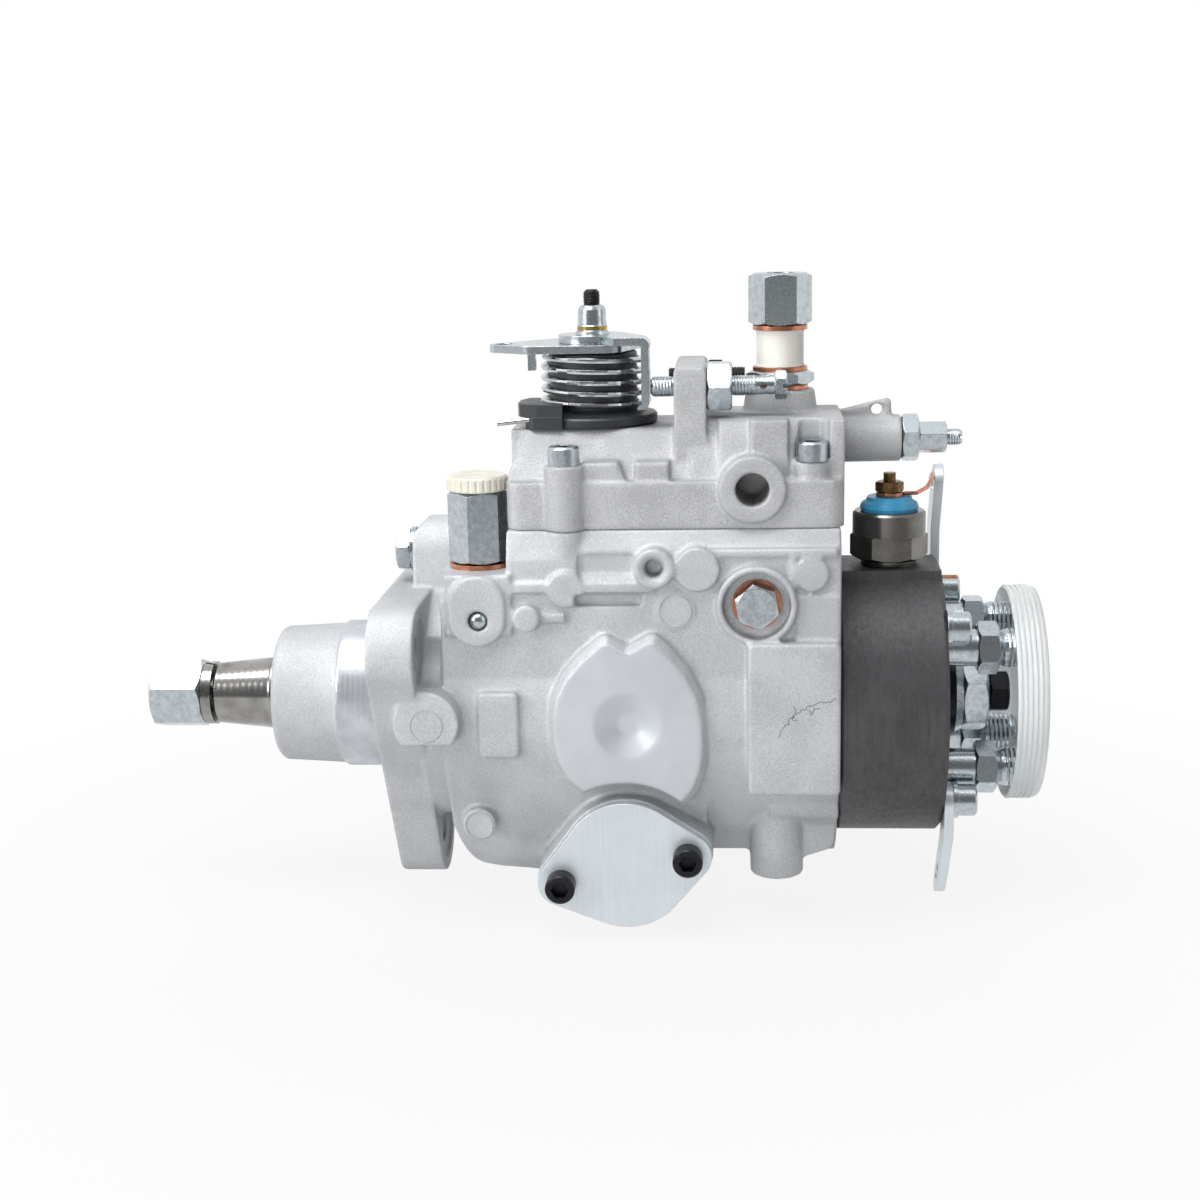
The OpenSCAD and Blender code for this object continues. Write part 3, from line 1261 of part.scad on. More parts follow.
module solenoid() {
  seat = solenoid_seat_z;
  color(bright_steel) translate([solenoid_at[0], solenoid_at[1], 0]) difference() {
    union() {
      turned([[34, 0], [34, 9], [seat + 2, 9], [seat + 2, 0]]);
      hex_bar(22, seat + 2, seat + 11);
      turned([[seat + 10, 0], [seat + 10, 11.9], [seat + 17, 11.9], [seat + 17.8, 11.1],
        [seat + 17.8, 0]]);
    }
    z_rod(4.1, 33, seat + 8);
  }
  color("deepskyblue") z_turned([[seat + 17.8, 0], [seat + 17.8, 9.2], [seat + 19, 9.6],
    [seat + 20.4, 9], [seat + 21.2, 7.6], [seat + 22.3, 7.2], [seat + 22.3, 0]],
    solenoid_at[0], solenoid_at[1]);
  color("darkgoldenrod") {
    z_hex(8, seat + 23.8, seat + 27.3, solenoid_at[0], solenoid_at[1]);
    z_rod(2, seat + 22, seat + 30.1, solenoid_at[0], solenoid_at[1]);
  }
}

module solenoid_armature() {
  color(dark_steel) z_turned([[28.3, 0], [28.3, 1.5], [30, 4 - run_gap], [44, 4 - run_gap], [44, 0]],
    solenoid_at[0], solenoid_at[1]);
}

// Thin lead from the terminal to the upper strap
wire_r = 0.7;
wire_points = [[1.5, 0, 22.6], [6, 1, 22.6], [9.6, 4, 24], [11.4, 9, 25.6], [12.4, 15, 26.4],
  [13, 21, 26], [13.4, 27, 24.6], [13.7, 33, 22.4]];

module terminal_wire() {
  seat = solenoid_seat_z + 0.7;
  color(copper) {
    translate([solenoid_at[0], solenoid_at[1], 0])
      turned([[seat + 21.7, 2.2], [seat + 21.7, 4.4], [seat + 23, 4.4], [seat + 23, 2.2]]);
    translate([solenoid_at[0] + 3, solenoid_at[1], seat - 0.2]) swept_wire(wire_points, wire_r, 8);
  }
}

// Round wire along the points, each ring square to the path
module swept_wire(path, r, sides) {
  count = len(path);
  points = [for (i = [0:count - 1])
    let (d = path[min(i + 1, count - 1)] - path[max(i - 1, 0)], f = d / norm(d),
      s = cross(f, [0, 0, 1]), u = s / norm(s), v = cross(u, f))
    for (k = [0:sides - 1]) path[i] + r * (cos(360 * k / sides) * u + sin(360 * k / sides) * v)];
  skin = [for (i = [0:count - 2]) for (k = [0:sides - 1]) let (n = (k + 1) % sides)
    [i * sides + k, i * sides + n, (i + 1) * sides + n, (i + 1) * sides + k]];
  polyhedron(points, concat(skin, [[for (k = [sides - 1:-1:0]) k]],
    [[for (k = [0:sides - 1]) (count - 1) * sides + k]]), convexity = 4);
}

// Covers over both ends of the timing piston
timer_plate_t = 3.2;
module timer_covers() {
  for (s = [-1, 1]) {
    y0 = s < 0 ? -timer_span - timer_plate_t : timer_span;
    color(zinc) difference() {
      side_plate(y0, y0 + timer_plate_t) timer_outline(-0.4);
      for (end = [-1, 1]) {
        p = timer_screw_place(end);
        y_rod(3.2, y0 - 1, y0 + timer_plate_t + 1, p[0], p[1]);
      }
    }
  }
}

module timer_screws() {
  color(black) for (s = [-1, 1], end = [-1, 1]) {
    p = timer_screw_place(end);
    translate([p[0], s * (timer_span + timer_plate_t), p[1]]) rotate([s < 0 ? 90 : -90, 0, 0])
      cap_screw(6, 9.6, 6, 16);
  }
}

module inlet_union() {
  z0 = inlet_seat_z;
  translate([inlet_at[0], inlet_at[1], 0]) {
    color(copper) turned([[z0, 6.2], [z0, 9.6], [z0 + 1.5, 9.6], [z0 + 1.5, 6.2]]);
    color(zinc) difference() {
      union() {
        z_rod(6, z0 - 13, z0 + 2);
        rotate([0, 0, 16.7]) hex_bar(17, z0 + 1.6, z0 + 24.6);
      }
      z_rod(3.4, z0 - 14, z0 + 20);
      z_rod(6.1, z0 + 14, z0 + 25);
    }
  }
}

cap_flutes = 26;
module inlet_cap() {
  z0 = inlet_seat_z + 24.7;
  color("ivory") translate([inlet_at[0], inlet_at[1], 0]) {
    difference() {
      turned([[z0, 0], [z0, 9.2], [z0 + 0.6, 9.8], [z0 + 4, 9.8], [z0 + 4.8, 9], [z0 + 4.8, 0]]);
      for (i = [0:cap_flutes - 1]) rotate([0, 0, 360 / cap_flutes * i])
        translate([10.2, 0, z0 - 1]) cylinder(r = 0.75, h = 7);
    }
    z_rod(5.9, z0 - 8, z0 + 0.2);
  }
}

// Ball plug, side plug with its washer, and the nut on the governor shaft
module housing_plugs() {
  ball_r = 3;
  plug_y = big_plug_y + 5;
  washer_y = [plug_y - 1.5, plug_y];
  color(bright_steel) translate([ball_at[0], ball_at[1], ball_at[2]]) sphere(ball_r);
  color(copper) y_turned([[washer_y[1], 4.2], [washer_y[1], 7.8], [washer_y[0], 7.8],
    [washer_y[0], 4.2]], big_plug_at[0], big_plug_at[1]);
  color(zinc) {
    y_hex(12.6, washer_y[0] - 5, washer_y[0], big_plug_at[0], big_plug_at[1], turn = 20);
    y_rod(4, washer_y[0] - 0.5, plug_y + 10, big_plug_at[0], big_plug_at[1]);
    difference() {
      union() {
        x_hex(13, 2, 7, 0, governor_z, turn = 15);
        x_rod(7.6, 7, 8.5, 0, governor_z);
      }
      x_rod(governor_r + thread_gap, 0, 10, 0, governor_z);
    }
  }
}

pump_housing();
shaft_seal();
shaft_bush();
drive_shaft();
shaft_key();
lock_washer();
shaft_nut();
supply_ring();
supply_rotor();
supply_plate();
drive_gear();
cross_disc();
roller_ring();
cam_rollers();
timer_pin();
timer_piston();
inner_springs();
cam_disc();
plunger();
spring_yoke();
control_collar();
distributor_barrel();
governor_shaft();
flyweight_carrier();
placed_flyweight(0);  // flyweight_1
placed_flyweight(1);  // flyweight_2
placed_flyweight(2);  // flyweight_3
placed_flyweight(3);  // flyweight_4
sliding_sleeve();
governor_lever();
lever_pivot();
governor_cover();
cover_screws();
lever_shaft();
spring_seat();
return_spring();
stop_bracket();
control_arm();
lever_nut();
stop_screws();
full_load_screw();
overflow_union();
distributor_head();
head_screws();
centre_plug();
delivery_unions();
placed_valve(0);  // delivery_valve_1
placed_valve(1);  // delivery_valve_2
placed_valve(2);  // delivery_valve_3
placed_valve(3);  // delivery_valve_4
delivery_cap();
straps();
solenoid();
solenoid_armature();
terminal_wire();
timer_covers();
timer_screws();
inlet_union();
inlet_cap();
housing_plugs();
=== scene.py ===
# Diesel injection pump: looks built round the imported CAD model.
import json
import math
import random
import bmesh
import bpy
from mathutils import Matrix, Vector

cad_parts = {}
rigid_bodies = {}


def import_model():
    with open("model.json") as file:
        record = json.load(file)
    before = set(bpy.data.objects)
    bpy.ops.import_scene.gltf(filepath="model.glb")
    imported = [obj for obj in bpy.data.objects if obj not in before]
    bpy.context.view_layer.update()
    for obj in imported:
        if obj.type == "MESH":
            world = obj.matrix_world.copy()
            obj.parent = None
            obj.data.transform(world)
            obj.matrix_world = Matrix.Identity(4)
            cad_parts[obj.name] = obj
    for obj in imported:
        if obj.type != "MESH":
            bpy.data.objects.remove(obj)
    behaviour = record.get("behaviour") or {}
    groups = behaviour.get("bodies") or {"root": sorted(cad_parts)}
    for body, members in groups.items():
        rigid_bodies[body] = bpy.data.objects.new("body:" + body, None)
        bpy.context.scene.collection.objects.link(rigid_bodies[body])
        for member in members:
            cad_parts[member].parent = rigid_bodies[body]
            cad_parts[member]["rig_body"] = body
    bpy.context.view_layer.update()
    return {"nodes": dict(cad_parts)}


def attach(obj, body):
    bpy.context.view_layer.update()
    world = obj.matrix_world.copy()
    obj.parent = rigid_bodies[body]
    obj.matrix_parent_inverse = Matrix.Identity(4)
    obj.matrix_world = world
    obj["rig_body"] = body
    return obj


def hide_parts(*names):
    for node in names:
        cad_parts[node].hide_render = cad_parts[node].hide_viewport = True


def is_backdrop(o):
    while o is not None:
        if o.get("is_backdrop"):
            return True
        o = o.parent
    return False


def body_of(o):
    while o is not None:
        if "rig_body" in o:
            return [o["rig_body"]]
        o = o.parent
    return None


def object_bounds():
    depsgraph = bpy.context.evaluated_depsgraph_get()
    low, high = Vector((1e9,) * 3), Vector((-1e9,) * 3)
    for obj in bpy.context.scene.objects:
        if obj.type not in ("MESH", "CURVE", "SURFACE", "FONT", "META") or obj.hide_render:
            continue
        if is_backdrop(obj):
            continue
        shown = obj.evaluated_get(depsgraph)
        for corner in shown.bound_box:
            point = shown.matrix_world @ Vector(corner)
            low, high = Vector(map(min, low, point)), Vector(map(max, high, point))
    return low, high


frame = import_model()
nodes = frame["nodes"]
mm = 0.001
print("frame loaded,", len(nodes), "nodes")

# Camera

camera = {
    "placeMm": (115.6, -608.3, 167.3),
    "yawDeg": 4.3,
    "pitchDeg": 12.5,
    "rollDeg": -1.24,
    "lensMm": 55.5,
    "sensorMm": 36,
    "seesFromMm": 10,
    "seesToMm": 50000,
}


def addCamera(spec):
    yaw, pitch, roll = (math.radians(spec[k]) for k in ("yawDeg", "pitchDeg", "rollDeg"))
    forward = Vector((-math.sin(yaw) * math.cos(pitch), math.cos(yaw) * math.cos(pitch), -math.sin(pitch)))
    right = Vector((math.cos(yaw), math.sin(yaw), 0))
    up = right.cross(forward)
    side = right * math.cos(roll) + up * math.sin(roll)
    top = up * math.cos(roll) - right * math.sin(roll)
    data = bpy.data.cameras.new("camera")
    data.lens = spec["lensMm"]
    data.sensor_width = spec["sensorMm"]
    data.clip_start = spec["seesFromMm"] * mm
    data.clip_end = spec["seesToMm"] * mm
    obj = bpy.data.objects.new("camera", data)
    obj.matrix_world = Matrix((side, top, -forward)).transposed().to_4x4()
    obj.location = Vector(spec["placeMm"]) * mm
    bpy.context.scene.collection.objects.link(obj)
    bpy.context.scene.camera = obj
    bpy.context.scene.view_settings.view_transform = "Standard"


addCamera(camera)

# Node trees


def linear(hexColour):  # sRGB hex to the linear values that the shaders take
    values = [int(hexColour[i:i + 2], 16) / 255 for i in (1, 3, 5)]
    return [v / 12.92 if v <= 0.04045 else ((v + 0.055) / 1.055) ** 2.4 for v in values] + [1]


def addNode(tree, kind, settings=None, links=None):
    node = tree.nodes.new(kind)
    for key, value in (settings or {}).items():
        if isinstance(key, str) and hasattr(node, key):
            setattr(node, key, value)
        else:
            node.inputs[key].default_value = value
    for key, source in (links or {}).items():
        tree.links.new(source, node.inputs[key])
    return node


# Finishes

# Sizes are real millimetres. A grain under about 0.45 mm doesn't show at this distance, so the
# finest ones are drawn that coarse. Turned rings, a few tenths apart on the real thing, are
# drawn about 2 mm apart.
finishes = {
    # Die-cast aluminium, shot-blasted: pale, matt, finely pitted
    "castAluminium": {
        "hex": "#BBBDC0", "darkHex": "#A9ABAE", "metallic": 0.3, "roughness": 0.55,
        "grainMm": 0.45, "grainBump": 0.2, "grainTone": 0.3, "blotchMm": 26, "edgeMm": 0.5,
    },
    # The same alloy in the cover, a shade greyer
    "coverAluminium": {
        "hex": "#B5B6B8", "darkHex": "#A2A3A5", "metallic": 0.3, "roughness": 0.55,
        "grainMm": 0.45, "grainBump": 0.24, "grainTone": 0.34, "blotchMm": 20, "edgeMm": 0.5,
    },
    # Milled faces of the casting: smoother, with a satin sheen
    "milledAluminium": {
        "hex": "#BFC3C8", "darkHex": "#B5B9BE", "metallic": 0.45, "roughness": 0.42,
        "grainMm": 0.45, "grainBump": 0.02, "grainTone": 0.03, "blotchMm": 25, "edgeMm": 0.3,
    },
    # Turned spigot: the tool leaves fine rings that catch the light
    "turnedAluminium": {
        "hex": "#C6CACF", "darkHex": "#ABB0B5", "metallic": 0.8, "roughness": 0.34,
        "grainMm": 0.45, "grainBump": 0.02, "grainTone": 0.04, "blotchMm": 9, "edgeMm": 0.3,
        "ringsMm": 1.78, "ringBump": 0.03,
    },
    # Zinc-plated steel, bright passivated: cool, fairly sharp reflections
    "zincPlatedSteel": {
        "hex": "#C4CCD1", "darkHex": "#AFB7BC", "metallic": 1, "roughness": 0.24,
        "grainMm": 0.8, "grainBump": 0.015, "grainTone": 0.08, "blotchMm": 2, "edgeMm": 0.3,
    },
    # The same plating on pressed sheet: duller, with fine handling scratches
    "zincPlatedSheet": {
        "hex": "#D6DDE1", "darkHex": "#CED5D9", "metallic": 0.75, "roughness": 0.38,
        "grainMm": 0.7, "grainBump": 0.01, "grainTone": 0.03, "blotchMm": 9, "edgeMm": 0.5,
        "scratchMm": 0.5, "scratchTurnDeg": 35,
    },
    # Yellow chromate over zinc: pale gold
    "yellowZinc": {
        "hex": "#C4A85C", "darkHex": "#A08541", "metallic": 1, "roughness": 0.26,
        "grainMm": 0.6, "grainBump": 0.01, "grainTone": 0.04, "blotchMm": 4, "edgeMm": 0.2,
    },
    # Ground steel of the drive shaft: dark and glossy, with the rings of its turning left
    "groundSteel": {
        "hex": "#A6A5A3", "darkHex": "#83817E", "metallic": 1, "roughness": 0.2,
        "grainMm": 0.5, "grainBump": 0.01, "grainTone": 0.04, "blotchMm": 9, "edgeMm": 0.2,
        "ringsMm": 2.18, "ringBump": 0.012,
    },
    # Hardened steel of the inner parts, ground
    "hardenedSteel": {
        "hex": "#8C8D90", "darkHex": "#77787B", "metallic": 1, "roughness": 0.3,
        "grainMm": 0.6, "grainBump": 0.02, "grainTone": 0.04, "blotchMm": 12, "edgeMm": 0.2,
    },
    # Chemically blackened cast iron head: satin charcoal with machining streaks
    "blackenedIron": {
        "hex": "#4C4B4D", "darkHex": "#3D3C3E", "metallic": 0.4, "roughness": 0.48,
        "grainMm": 0.7, "grainBump": 0.05, "grainTone": 0.10, "blotchMm": 16, "edgeMm": 0.5,
        "streakMm": 1.4,
    },
    # Black oxide on socket screws, oiled: near black with a soft sheen
    "blackOxideSteel": {
        "hex": "#232326", "darkHex": "#17171A", "metallic": 0.7, "roughness": 0.34,
        "grainMm": 0.5, "grainBump": 0.03, "grainTone": 0.05, "blotchMm": 5, "edgeMm": 0.2,
    },
    # Bright-drawn spring wire: the sharpest reflections of all
    "springWire": {
        "hex": "#CFD1D2", "darkHex": "#B5B6B8", "metallic": 1, "roughness": 0.14,
        "grainMm": 0.6, "grainBump": 0.01, "grainTone": 0.03, "blotchMm": 5, "edgeMm": 0.1,
    },
    # Glass-filled nylon, moulded black: satin
    "blackNylon": {
        "hex": "#2A2D31", "darkHex": "#202327", "metallic": 0, "roughness": 0.4,
        "grainMm": 0.5, "grainBump": 0.04, "grainTone": 0.08, "blotchMm": 8, "edgeMm": 0.3, "ior": 1.53,
    },
    # Natural nylon: milky white, lets a little light in
    "whiteNylon": {
        "hex": "#EDECE6", "darkHex": "#E2E0D9", "metallic": 0, "roughness": 0.35,
        "grainMm": 0.6, "grainBump": 0.01, "grainTone": 0.02, "blotchMm": 8, "edgeMm": 0.3, "ior": 1.53,
        "transmission": 0.2,
    },
    # Natural polyethylene cap: cloudy and see-through where thin
    "clearPolyethylene": {
        "hex": "#FDFFFF", "darkHex": "#F6FAFB", "metallic": 0, "roughness": 0.34,
        "grainMm": 0.8, "grainBump": 0.02, "grainTone": 0.02, "blotchMm": 12, "edgeMm": 0.5, "ior": 1.51,
        "transmission": 0.5,
    },
    # Ivory polyethylene of the inlet's shipping cap, moulded: waxy
    "ivoryPolyethylene": {
        "hex": "#D2D0C4", "darkHex": "#C5C1B3", "metallic": 0, "roughness": 0.42,
        "grainMm": 0.6, "grainBump": 0.02, "grainTone": 0.03, "blotchMm": 8, "edgeMm": 0.3, "ior": 1.51,
    },
    # Soft copper of the sealing washers and the bare wire
    "copper": {
        "hex": "#CE9276", "darkHex": "#B0765B", "metallic": 1, "roughness": 0.3,
        "grainMm": 0.5, "grainBump": 0.03, "grainTone": 0.06, "blotchMm": 3, "edgeMm": 0.15,
    },
    # Bearing bronze, bored
    "bronze": {
        "hex": "#A98850", "darkHex": "#8F713F", "metallic": 1, "roughness": 0.32,
        "grainMm": 0.5, "grainBump": 0.02, "grainTone": 0.04, "blotchMm": 6, "edgeMm": 0.2,
    },
    # Brass terminal, browned by handling
    "agedBrass": {
        "hex": "#8A6E48", "darkHex": "#5F4A30", "metallic": 1, "roughness": 0.32,
        "grainMm": 0.5, "grainBump": 0.03, "grainTone": 0.06, "blotchMm": 2.5, "edgeMm": 0.15,
    },
    # Nickel-plated solenoid can, warmer and darker than zinc
    "nickelPlatedSteel": {
        "hex": "#7A7874", "darkHex": "#686663", "metallic": 1, "roughness": 0.24,
        "grainMm": 0.5, "grainBump": 0.015, "grainTone": 0.04, "blotchMm": 7, "edgeMm": 0.3,
    },
    # Blue insulating collar of the terminal, moulded nylon
    "blueNylon": {
        "hex": "#3C96BE", "darkHex": "#2F7FA6", "metallic": 0, "roughness": 0.36,
        "grainMm": 0.5, "grainBump": 0.02, "grainTone": 0.04, "blotchMm": 5, "edgeMm": 0.3, "ior": 1.53,
    },
    # Nitrile rubber seal, moulded: black and matt
    "nitrileRubber": {
        "hex": "#141414", "darkHex": "#0D0D0D", "metallic": 0, "roughness": 0.6,
        "grainMm": 0.6, "grainBump": 0.05, "grainTone": 0.05, "blotchMm": 6, "edgeMm": 0.3, "ior": 1.52,
    },
    # Inspection dab on a screw head, brushed on
    "orangePaint": {
        "hex": "#C98A4E", "darkHex": "#B3733A", "metallic": 0, "roughness": 0.5,
        "grainMm": 0.6, "grainBump": 0.03, "grainTone": 0.1, "blotchMm": 2, "edgeMm": 0.2,
    },
    # Graphite-grey rub marks left on the casting by handling
    "rubMark": {
        "hex": "#6E6F70", "darkHex": "#565758", "metallic": 0.2, "roughness": 0.6,
        "grainMm": 0.5, "grainBump": 0.02, "grainTone": 0.2, "blotchMm": 2, "edgeMm": 0.1,
    },
}

# How the patterns of every finish are mixed
patterns = {
    "blotch": {"Detail": 4, "Roughness": 0.55},
    "grain": {"Detail": 2, "Roughness": 0.6},
    "streak": {"Detail": 4},
    "scratch": {"Detail": 2},
    "streakStretch": (1, 1, 0.04),
    "scratchStretch": (1, 1, 0.03),
    "grainWeight": 4,
    "darkBelow": 0.35,
    "paleAbove": 0.65,
    "roughWhereDark": 1.2,
    "roughWherePale": 0.85,
    "ringWander": 0.6,
    "edgeSamples": 4,
}
waveLength = math.pi / 10  # what a wave texture of scale 1 repeats after


def half(tree, tone, other):  # the mean of two patterns
    part = addNode(tree, "ShaderNodeMath", {"operation": "MULTIPLY", 1: 0.5}, {0: tone})
    return addNode(tree, "ShaderNodeMath", {"operation": "MULTIPLY_ADD", 1: 0.5},
                   {0: other, 2: part.outputs[0]}).outputs[0]


def makeFinish(name, spec):
    mat = bpy.data.materials.new(name)
    mat.use_nodes = True
    tree = mat.node_tree
    shader = tree.nodes["Principled BSDF"]
    place = addNode(tree, "ShaderNodeTexCoord").outputs["Object"]
    blotch = addNode(tree, "ShaderNodeTexNoise",
                     {"Scale": 1 / (spec["blotchMm"] * mm), **patterns["blotch"]}, {"Vector": place})
    grain = addNode(tree, "ShaderNodeTexNoise",
                    {"Scale": 1 / (spec["grainMm"] * mm), **patterns["grain"]}, {"Vector": place})
    tone = blotch.outputs["Fac"]
    if "streakMm" in spec:  # long marks up and down the side, left by milling
        stretch = addNode(tree, "ShaderNodeMapping", {"Scale": patterns["streakStretch"]}, {"Vector": place})
        streak = addNode(tree, "ShaderNodeTexNoise",
                         {"Scale": 1 / (spec["streakMm"] * mm), **patterns["streak"]},
                         {"Vector": stretch.outputs["Vector"]})
        tone = half(tree, tone, streak.outputs["Fac"])
    if "scratchMm" in spec:  # fine straight scratches, all roughly one way
        turn = addNode(tree, "ShaderNodeMapping",
                       {"Rotation": (0, math.radians(spec["scratchTurnDeg"]), 0),
                        "Scale": patterns["scratchStretch"]},
                       {"Vector": place})
        scratch = addNode(tree, "ShaderNodeTexNoise",
                          {"Scale": 1 / (spec["scratchMm"] * mm), **patterns["scratch"]},
                          {"Vector": turn.outputs["Vector"]})
        tone = half(tree, tone, scratch.outputs["Fac"])
    pits = addNode(tree, "ShaderNodeMath", {"operation": "SUBTRACT", 1: 0.5}, {0: grain.outputs["Fac"]})
    tone = addNode(tree, "ShaderNodeMath",
                   {"operation": "MULTIPLY_ADD", 1: spec["grainTone"] * patterns["grainWeight"]},
                   {0: pits.outputs[0], 2: tone})
    ramp = addNode(tree, "ShaderNodeMapRange",
                   {"From Min": patterns["darkBelow"], "From Max": patterns["paleAbove"]},
                   {"Value": tone.outputs[0]})
    colour = addNode(tree, "ShaderNodeMix",
                     {"data_type": "RGBA", 6: linear(spec["darkHex"]), 7: linear(spec["hex"])},
                     {0: ramp.outputs["Result"]})
    tree.links.new(colour.outputs[2], shader.inputs["Base Color"])
    rough = addNode(tree, "ShaderNodeMapRange",
                    {"To Min": spec["roughness"] * patterns["roughWhereDark"],
                     "To Max": spec["roughness"] * patterns["roughWherePale"]},
                    {"Value": ramp.outputs["Result"]})
    tree.links.new(rough.outputs["Result"], shader.inputs["Roughness"])
    soft = addNode(tree, "ShaderNodeBevel",
                   {"samples": patterns["edgeSamples"], "Radius": spec["edgeMm"] * mm})
    bump = addNode(tree, "ShaderNodeBump",
                   {"Strength": 1, "Distance": spec["grainBump"] * mm},
                   {"Height": grain.outputs["Fac"], "Normal": soft.outputs["Normal"]})
    if "ringsMm" in spec:  # turned rings round the axis
        rings = addNode(tree, "ShaderNodeTexWave",
                        {"bands_direction": "X", "Scale": waveLength / (spec["ringsMm"] * mm),
                         "Distortion": patterns["ringWander"]},
                        {"Vector": place})
        bump = addNode(tree, "ShaderNodeBump",
                       {"Strength": 1, "Distance": spec["ringBump"] * mm},
                       {"Height": rings.outputs["Fac"], "Normal": bump.outputs["Normal"]})
    tree.links.new(bump.outputs["Normal"], shader.inputs["Normal"])
    shader.inputs["Metallic"].default_value = spec["metallic"]
    if "ior" in spec:
        shader.inputs["IOR"].default_value = spec["ior"]
    if "transmission" in spec:
        shader.inputs["Transmission Weight"].default_value = spec["transmission"]
    return mat


finish = {name: makeFinish(name, spec) for name, spec in finishes.items()}
print(len(finish), "finishes made")

# Finish of each node, and the patches of it that differ

far = 1000  # mm, past every face


def away(centre, x=None, y=None, z=None):  # distance from an axis; the axis runs along the one left out
    parts = [(centre.x, x), (centre.y, y), (centre.z, z)]
    return math.hypot(*(have - want for have, want in parts if want is not None))


# A patch holds the faces whose centre lies between its limits (mm), further than "beyond" and
# nearer than "within" from its axis, and that look up by more than "upward"
def inPatch(patch, centre, normal):
    for axis, (low, high) in patch.get("limits", {}).items():
        if not low <= getattr(centre, axis) < high:
            return False
    if "axis" in patch:
        reach = away(centre, **patch["axis"])
        if not patch.get("beyond", -1) < reach < patch.get("within", far):
            return False
    return normal.z > patch.get("upward", -2)


def paint(obj, base, patches):
    names = [base]
    for patch in patches:
        if patch["finish"] not in names:
            names.append(patch["finish"])
    obj.data.materials.clear()
    for name in names:
        obj.data.materials.append(finish[name])
    for face in obj.data.polygons:
        centre = face.center / mm
        fits = (p["finish"] for p in patches if inPatch(p, centre, face.normal))
        face.material_index = names.index(next(fits, base))


finishOfNode = {
    "blackNylon": ["spring_seat"],
    "springWire": ["return_spring"],
    "groundSteel": ["drive_shaft", "lock_washer"],
    "bronze": ["shaft_bush"],
    "nitrileRubber": ["shaft_seal"],
    "blackOxideSteel": ["timer_screws", "lever_shaft"],
    "blackenedIron": ["distributor_head"],
    "clearPolyethylene": ["delivery_cap"],
    "ivoryPolyethylene": ["inlet_cap"],
    "copper": ["terminal_wire"],
    "castAluminium": ["pump_housing"],
    "coverAluminium": ["governor_cover"],
    "zincPlatedSheet": ["timer_covers", "straps"],
    "zincPlatedSteel": [
        "shaft_nut", "cover_screws", "lever_nut", "stop_screws", "head_screws", "delivery_unions",
        "full_load_screw", "overflow_union", "inlet_union", "housing_plugs", "centre_plug",
        "control_arm", "stop_bracket",
    ],
    "nickelPlatedSteel": ["solenoid"],
}
baseOf = {node: name for name, members in finishOfNode.items() for node in members}

overflowAxis = {"x": 130.3, "y": -5}
patchesOf = {
    "overflow_union": [
        {"finish": "whiteNylon", "limits": {"z": (110.55, 122.25)}, "axis": overflowAxis, "beyond": 5.1},
        {"finish": "copper", "limits": {"z": (103.2, 104.65)}, "axis": overflowAxis, "beyond": 5.1},
        {"finish": "copper", "limits": {"z": (109.25, 110.56)}, "axis": overflowAxis, "beyond": 5.1},
        {"finish": "copper", "limits": {"z": (122.24, 123.75)}, "axis": overflowAxis, "beyond": 5.1},
    ],
    "inlet_union": [
        {"finish": "copper", "limits": {"z": (49.95, 51.55)}, "axis": {"x": 33.5, "y": -28}, "beyond": 6.1},
    ],
    "housing_plugs": [{"finish": "copper", "limits": {"x": (110, far), "y": (-42.6, -40.9)}}],
    "solenoid": [
        {"finish": "blueNylon", "limits": {"z": (63.02, 67.55)}},
        {"finish": "agedBrass", "limits": {"z": (67.55, far)}},
    ],
    # The ring next to the head and the far end of the centre plug are drawn in the near-black screw finish
    "centre_plug": [
        {"finish": "blackOxideSteel", "limits": {"x": (-far, 187.99)}},
        {"finish": "blackOxideSteel", "limits": {"x": (199.01, far)}},
    ],
    "lever_nut": [{"finish": "yellowZinc", "limits": {"z": (123.15, 124.45)}}],
    "stop_screws": [{"finish": "blackOxideSteel", "limits": {"y": (0, far)}}],
    "head_screws": [
        {"finish": "orangePaint", "limits": {"x": (185, far), "y": (20, far), "z": (25, far)},
         "upward": 0.85},
    ],
}
for node in nodes:
    paint(nodes[node], baseOf.get(node, "hardenedSteel"), patchesOf.get(node, []))
print("nodes painted")

# Cast skin

# The sharp model of each casting is turned into fine cells and relaxed, which rounds its edges
# and fills its corners as the die does
castSkin = {
    "voxelMm": 0.65,
    "relax": 0.5,
    "relaxSteps": 4,
    "keepShare": 0.25,
    "nodes": {
        "pump_housing": [
            {"finish": "turnedAluminium", "limits": {"x": (-17.3, -0.3)}, "axis": {"y": 0, "z": 0},
             "beyond": 23.2},
            {"finish": "milledAluminium",
             "limits": {"x": (56.2, 106.2), "y": (-far, -48.3), "z": (-far, 30)}},
            {"finish": "milledAluminium", "limits": {"y": (-far, -44)}, "axis": {"x": 81.2, "z": 1.8},
             "within": 11},
        ],
        "governor_cover": [],
    },
}


def plainCopy(node, name):  # the CAD shape as a mesh of its own, in the shared frame
    mesh = nodes[node].data.copy()
    mesh.transform(nodes[node].matrix_world)
    obj = bpy.data.objects.new(name, mesh)
    bpy.context.scene.collection.objects.link(obj)
    return obj


def applyModifiers(obj):
    graph = bpy.context.evaluated_depsgraph_get()
    mesh = bpy.data.meshes.new_from_object(obj.evaluated_get(graph))
    obj.modifiers.clear()
    obj.data = mesh


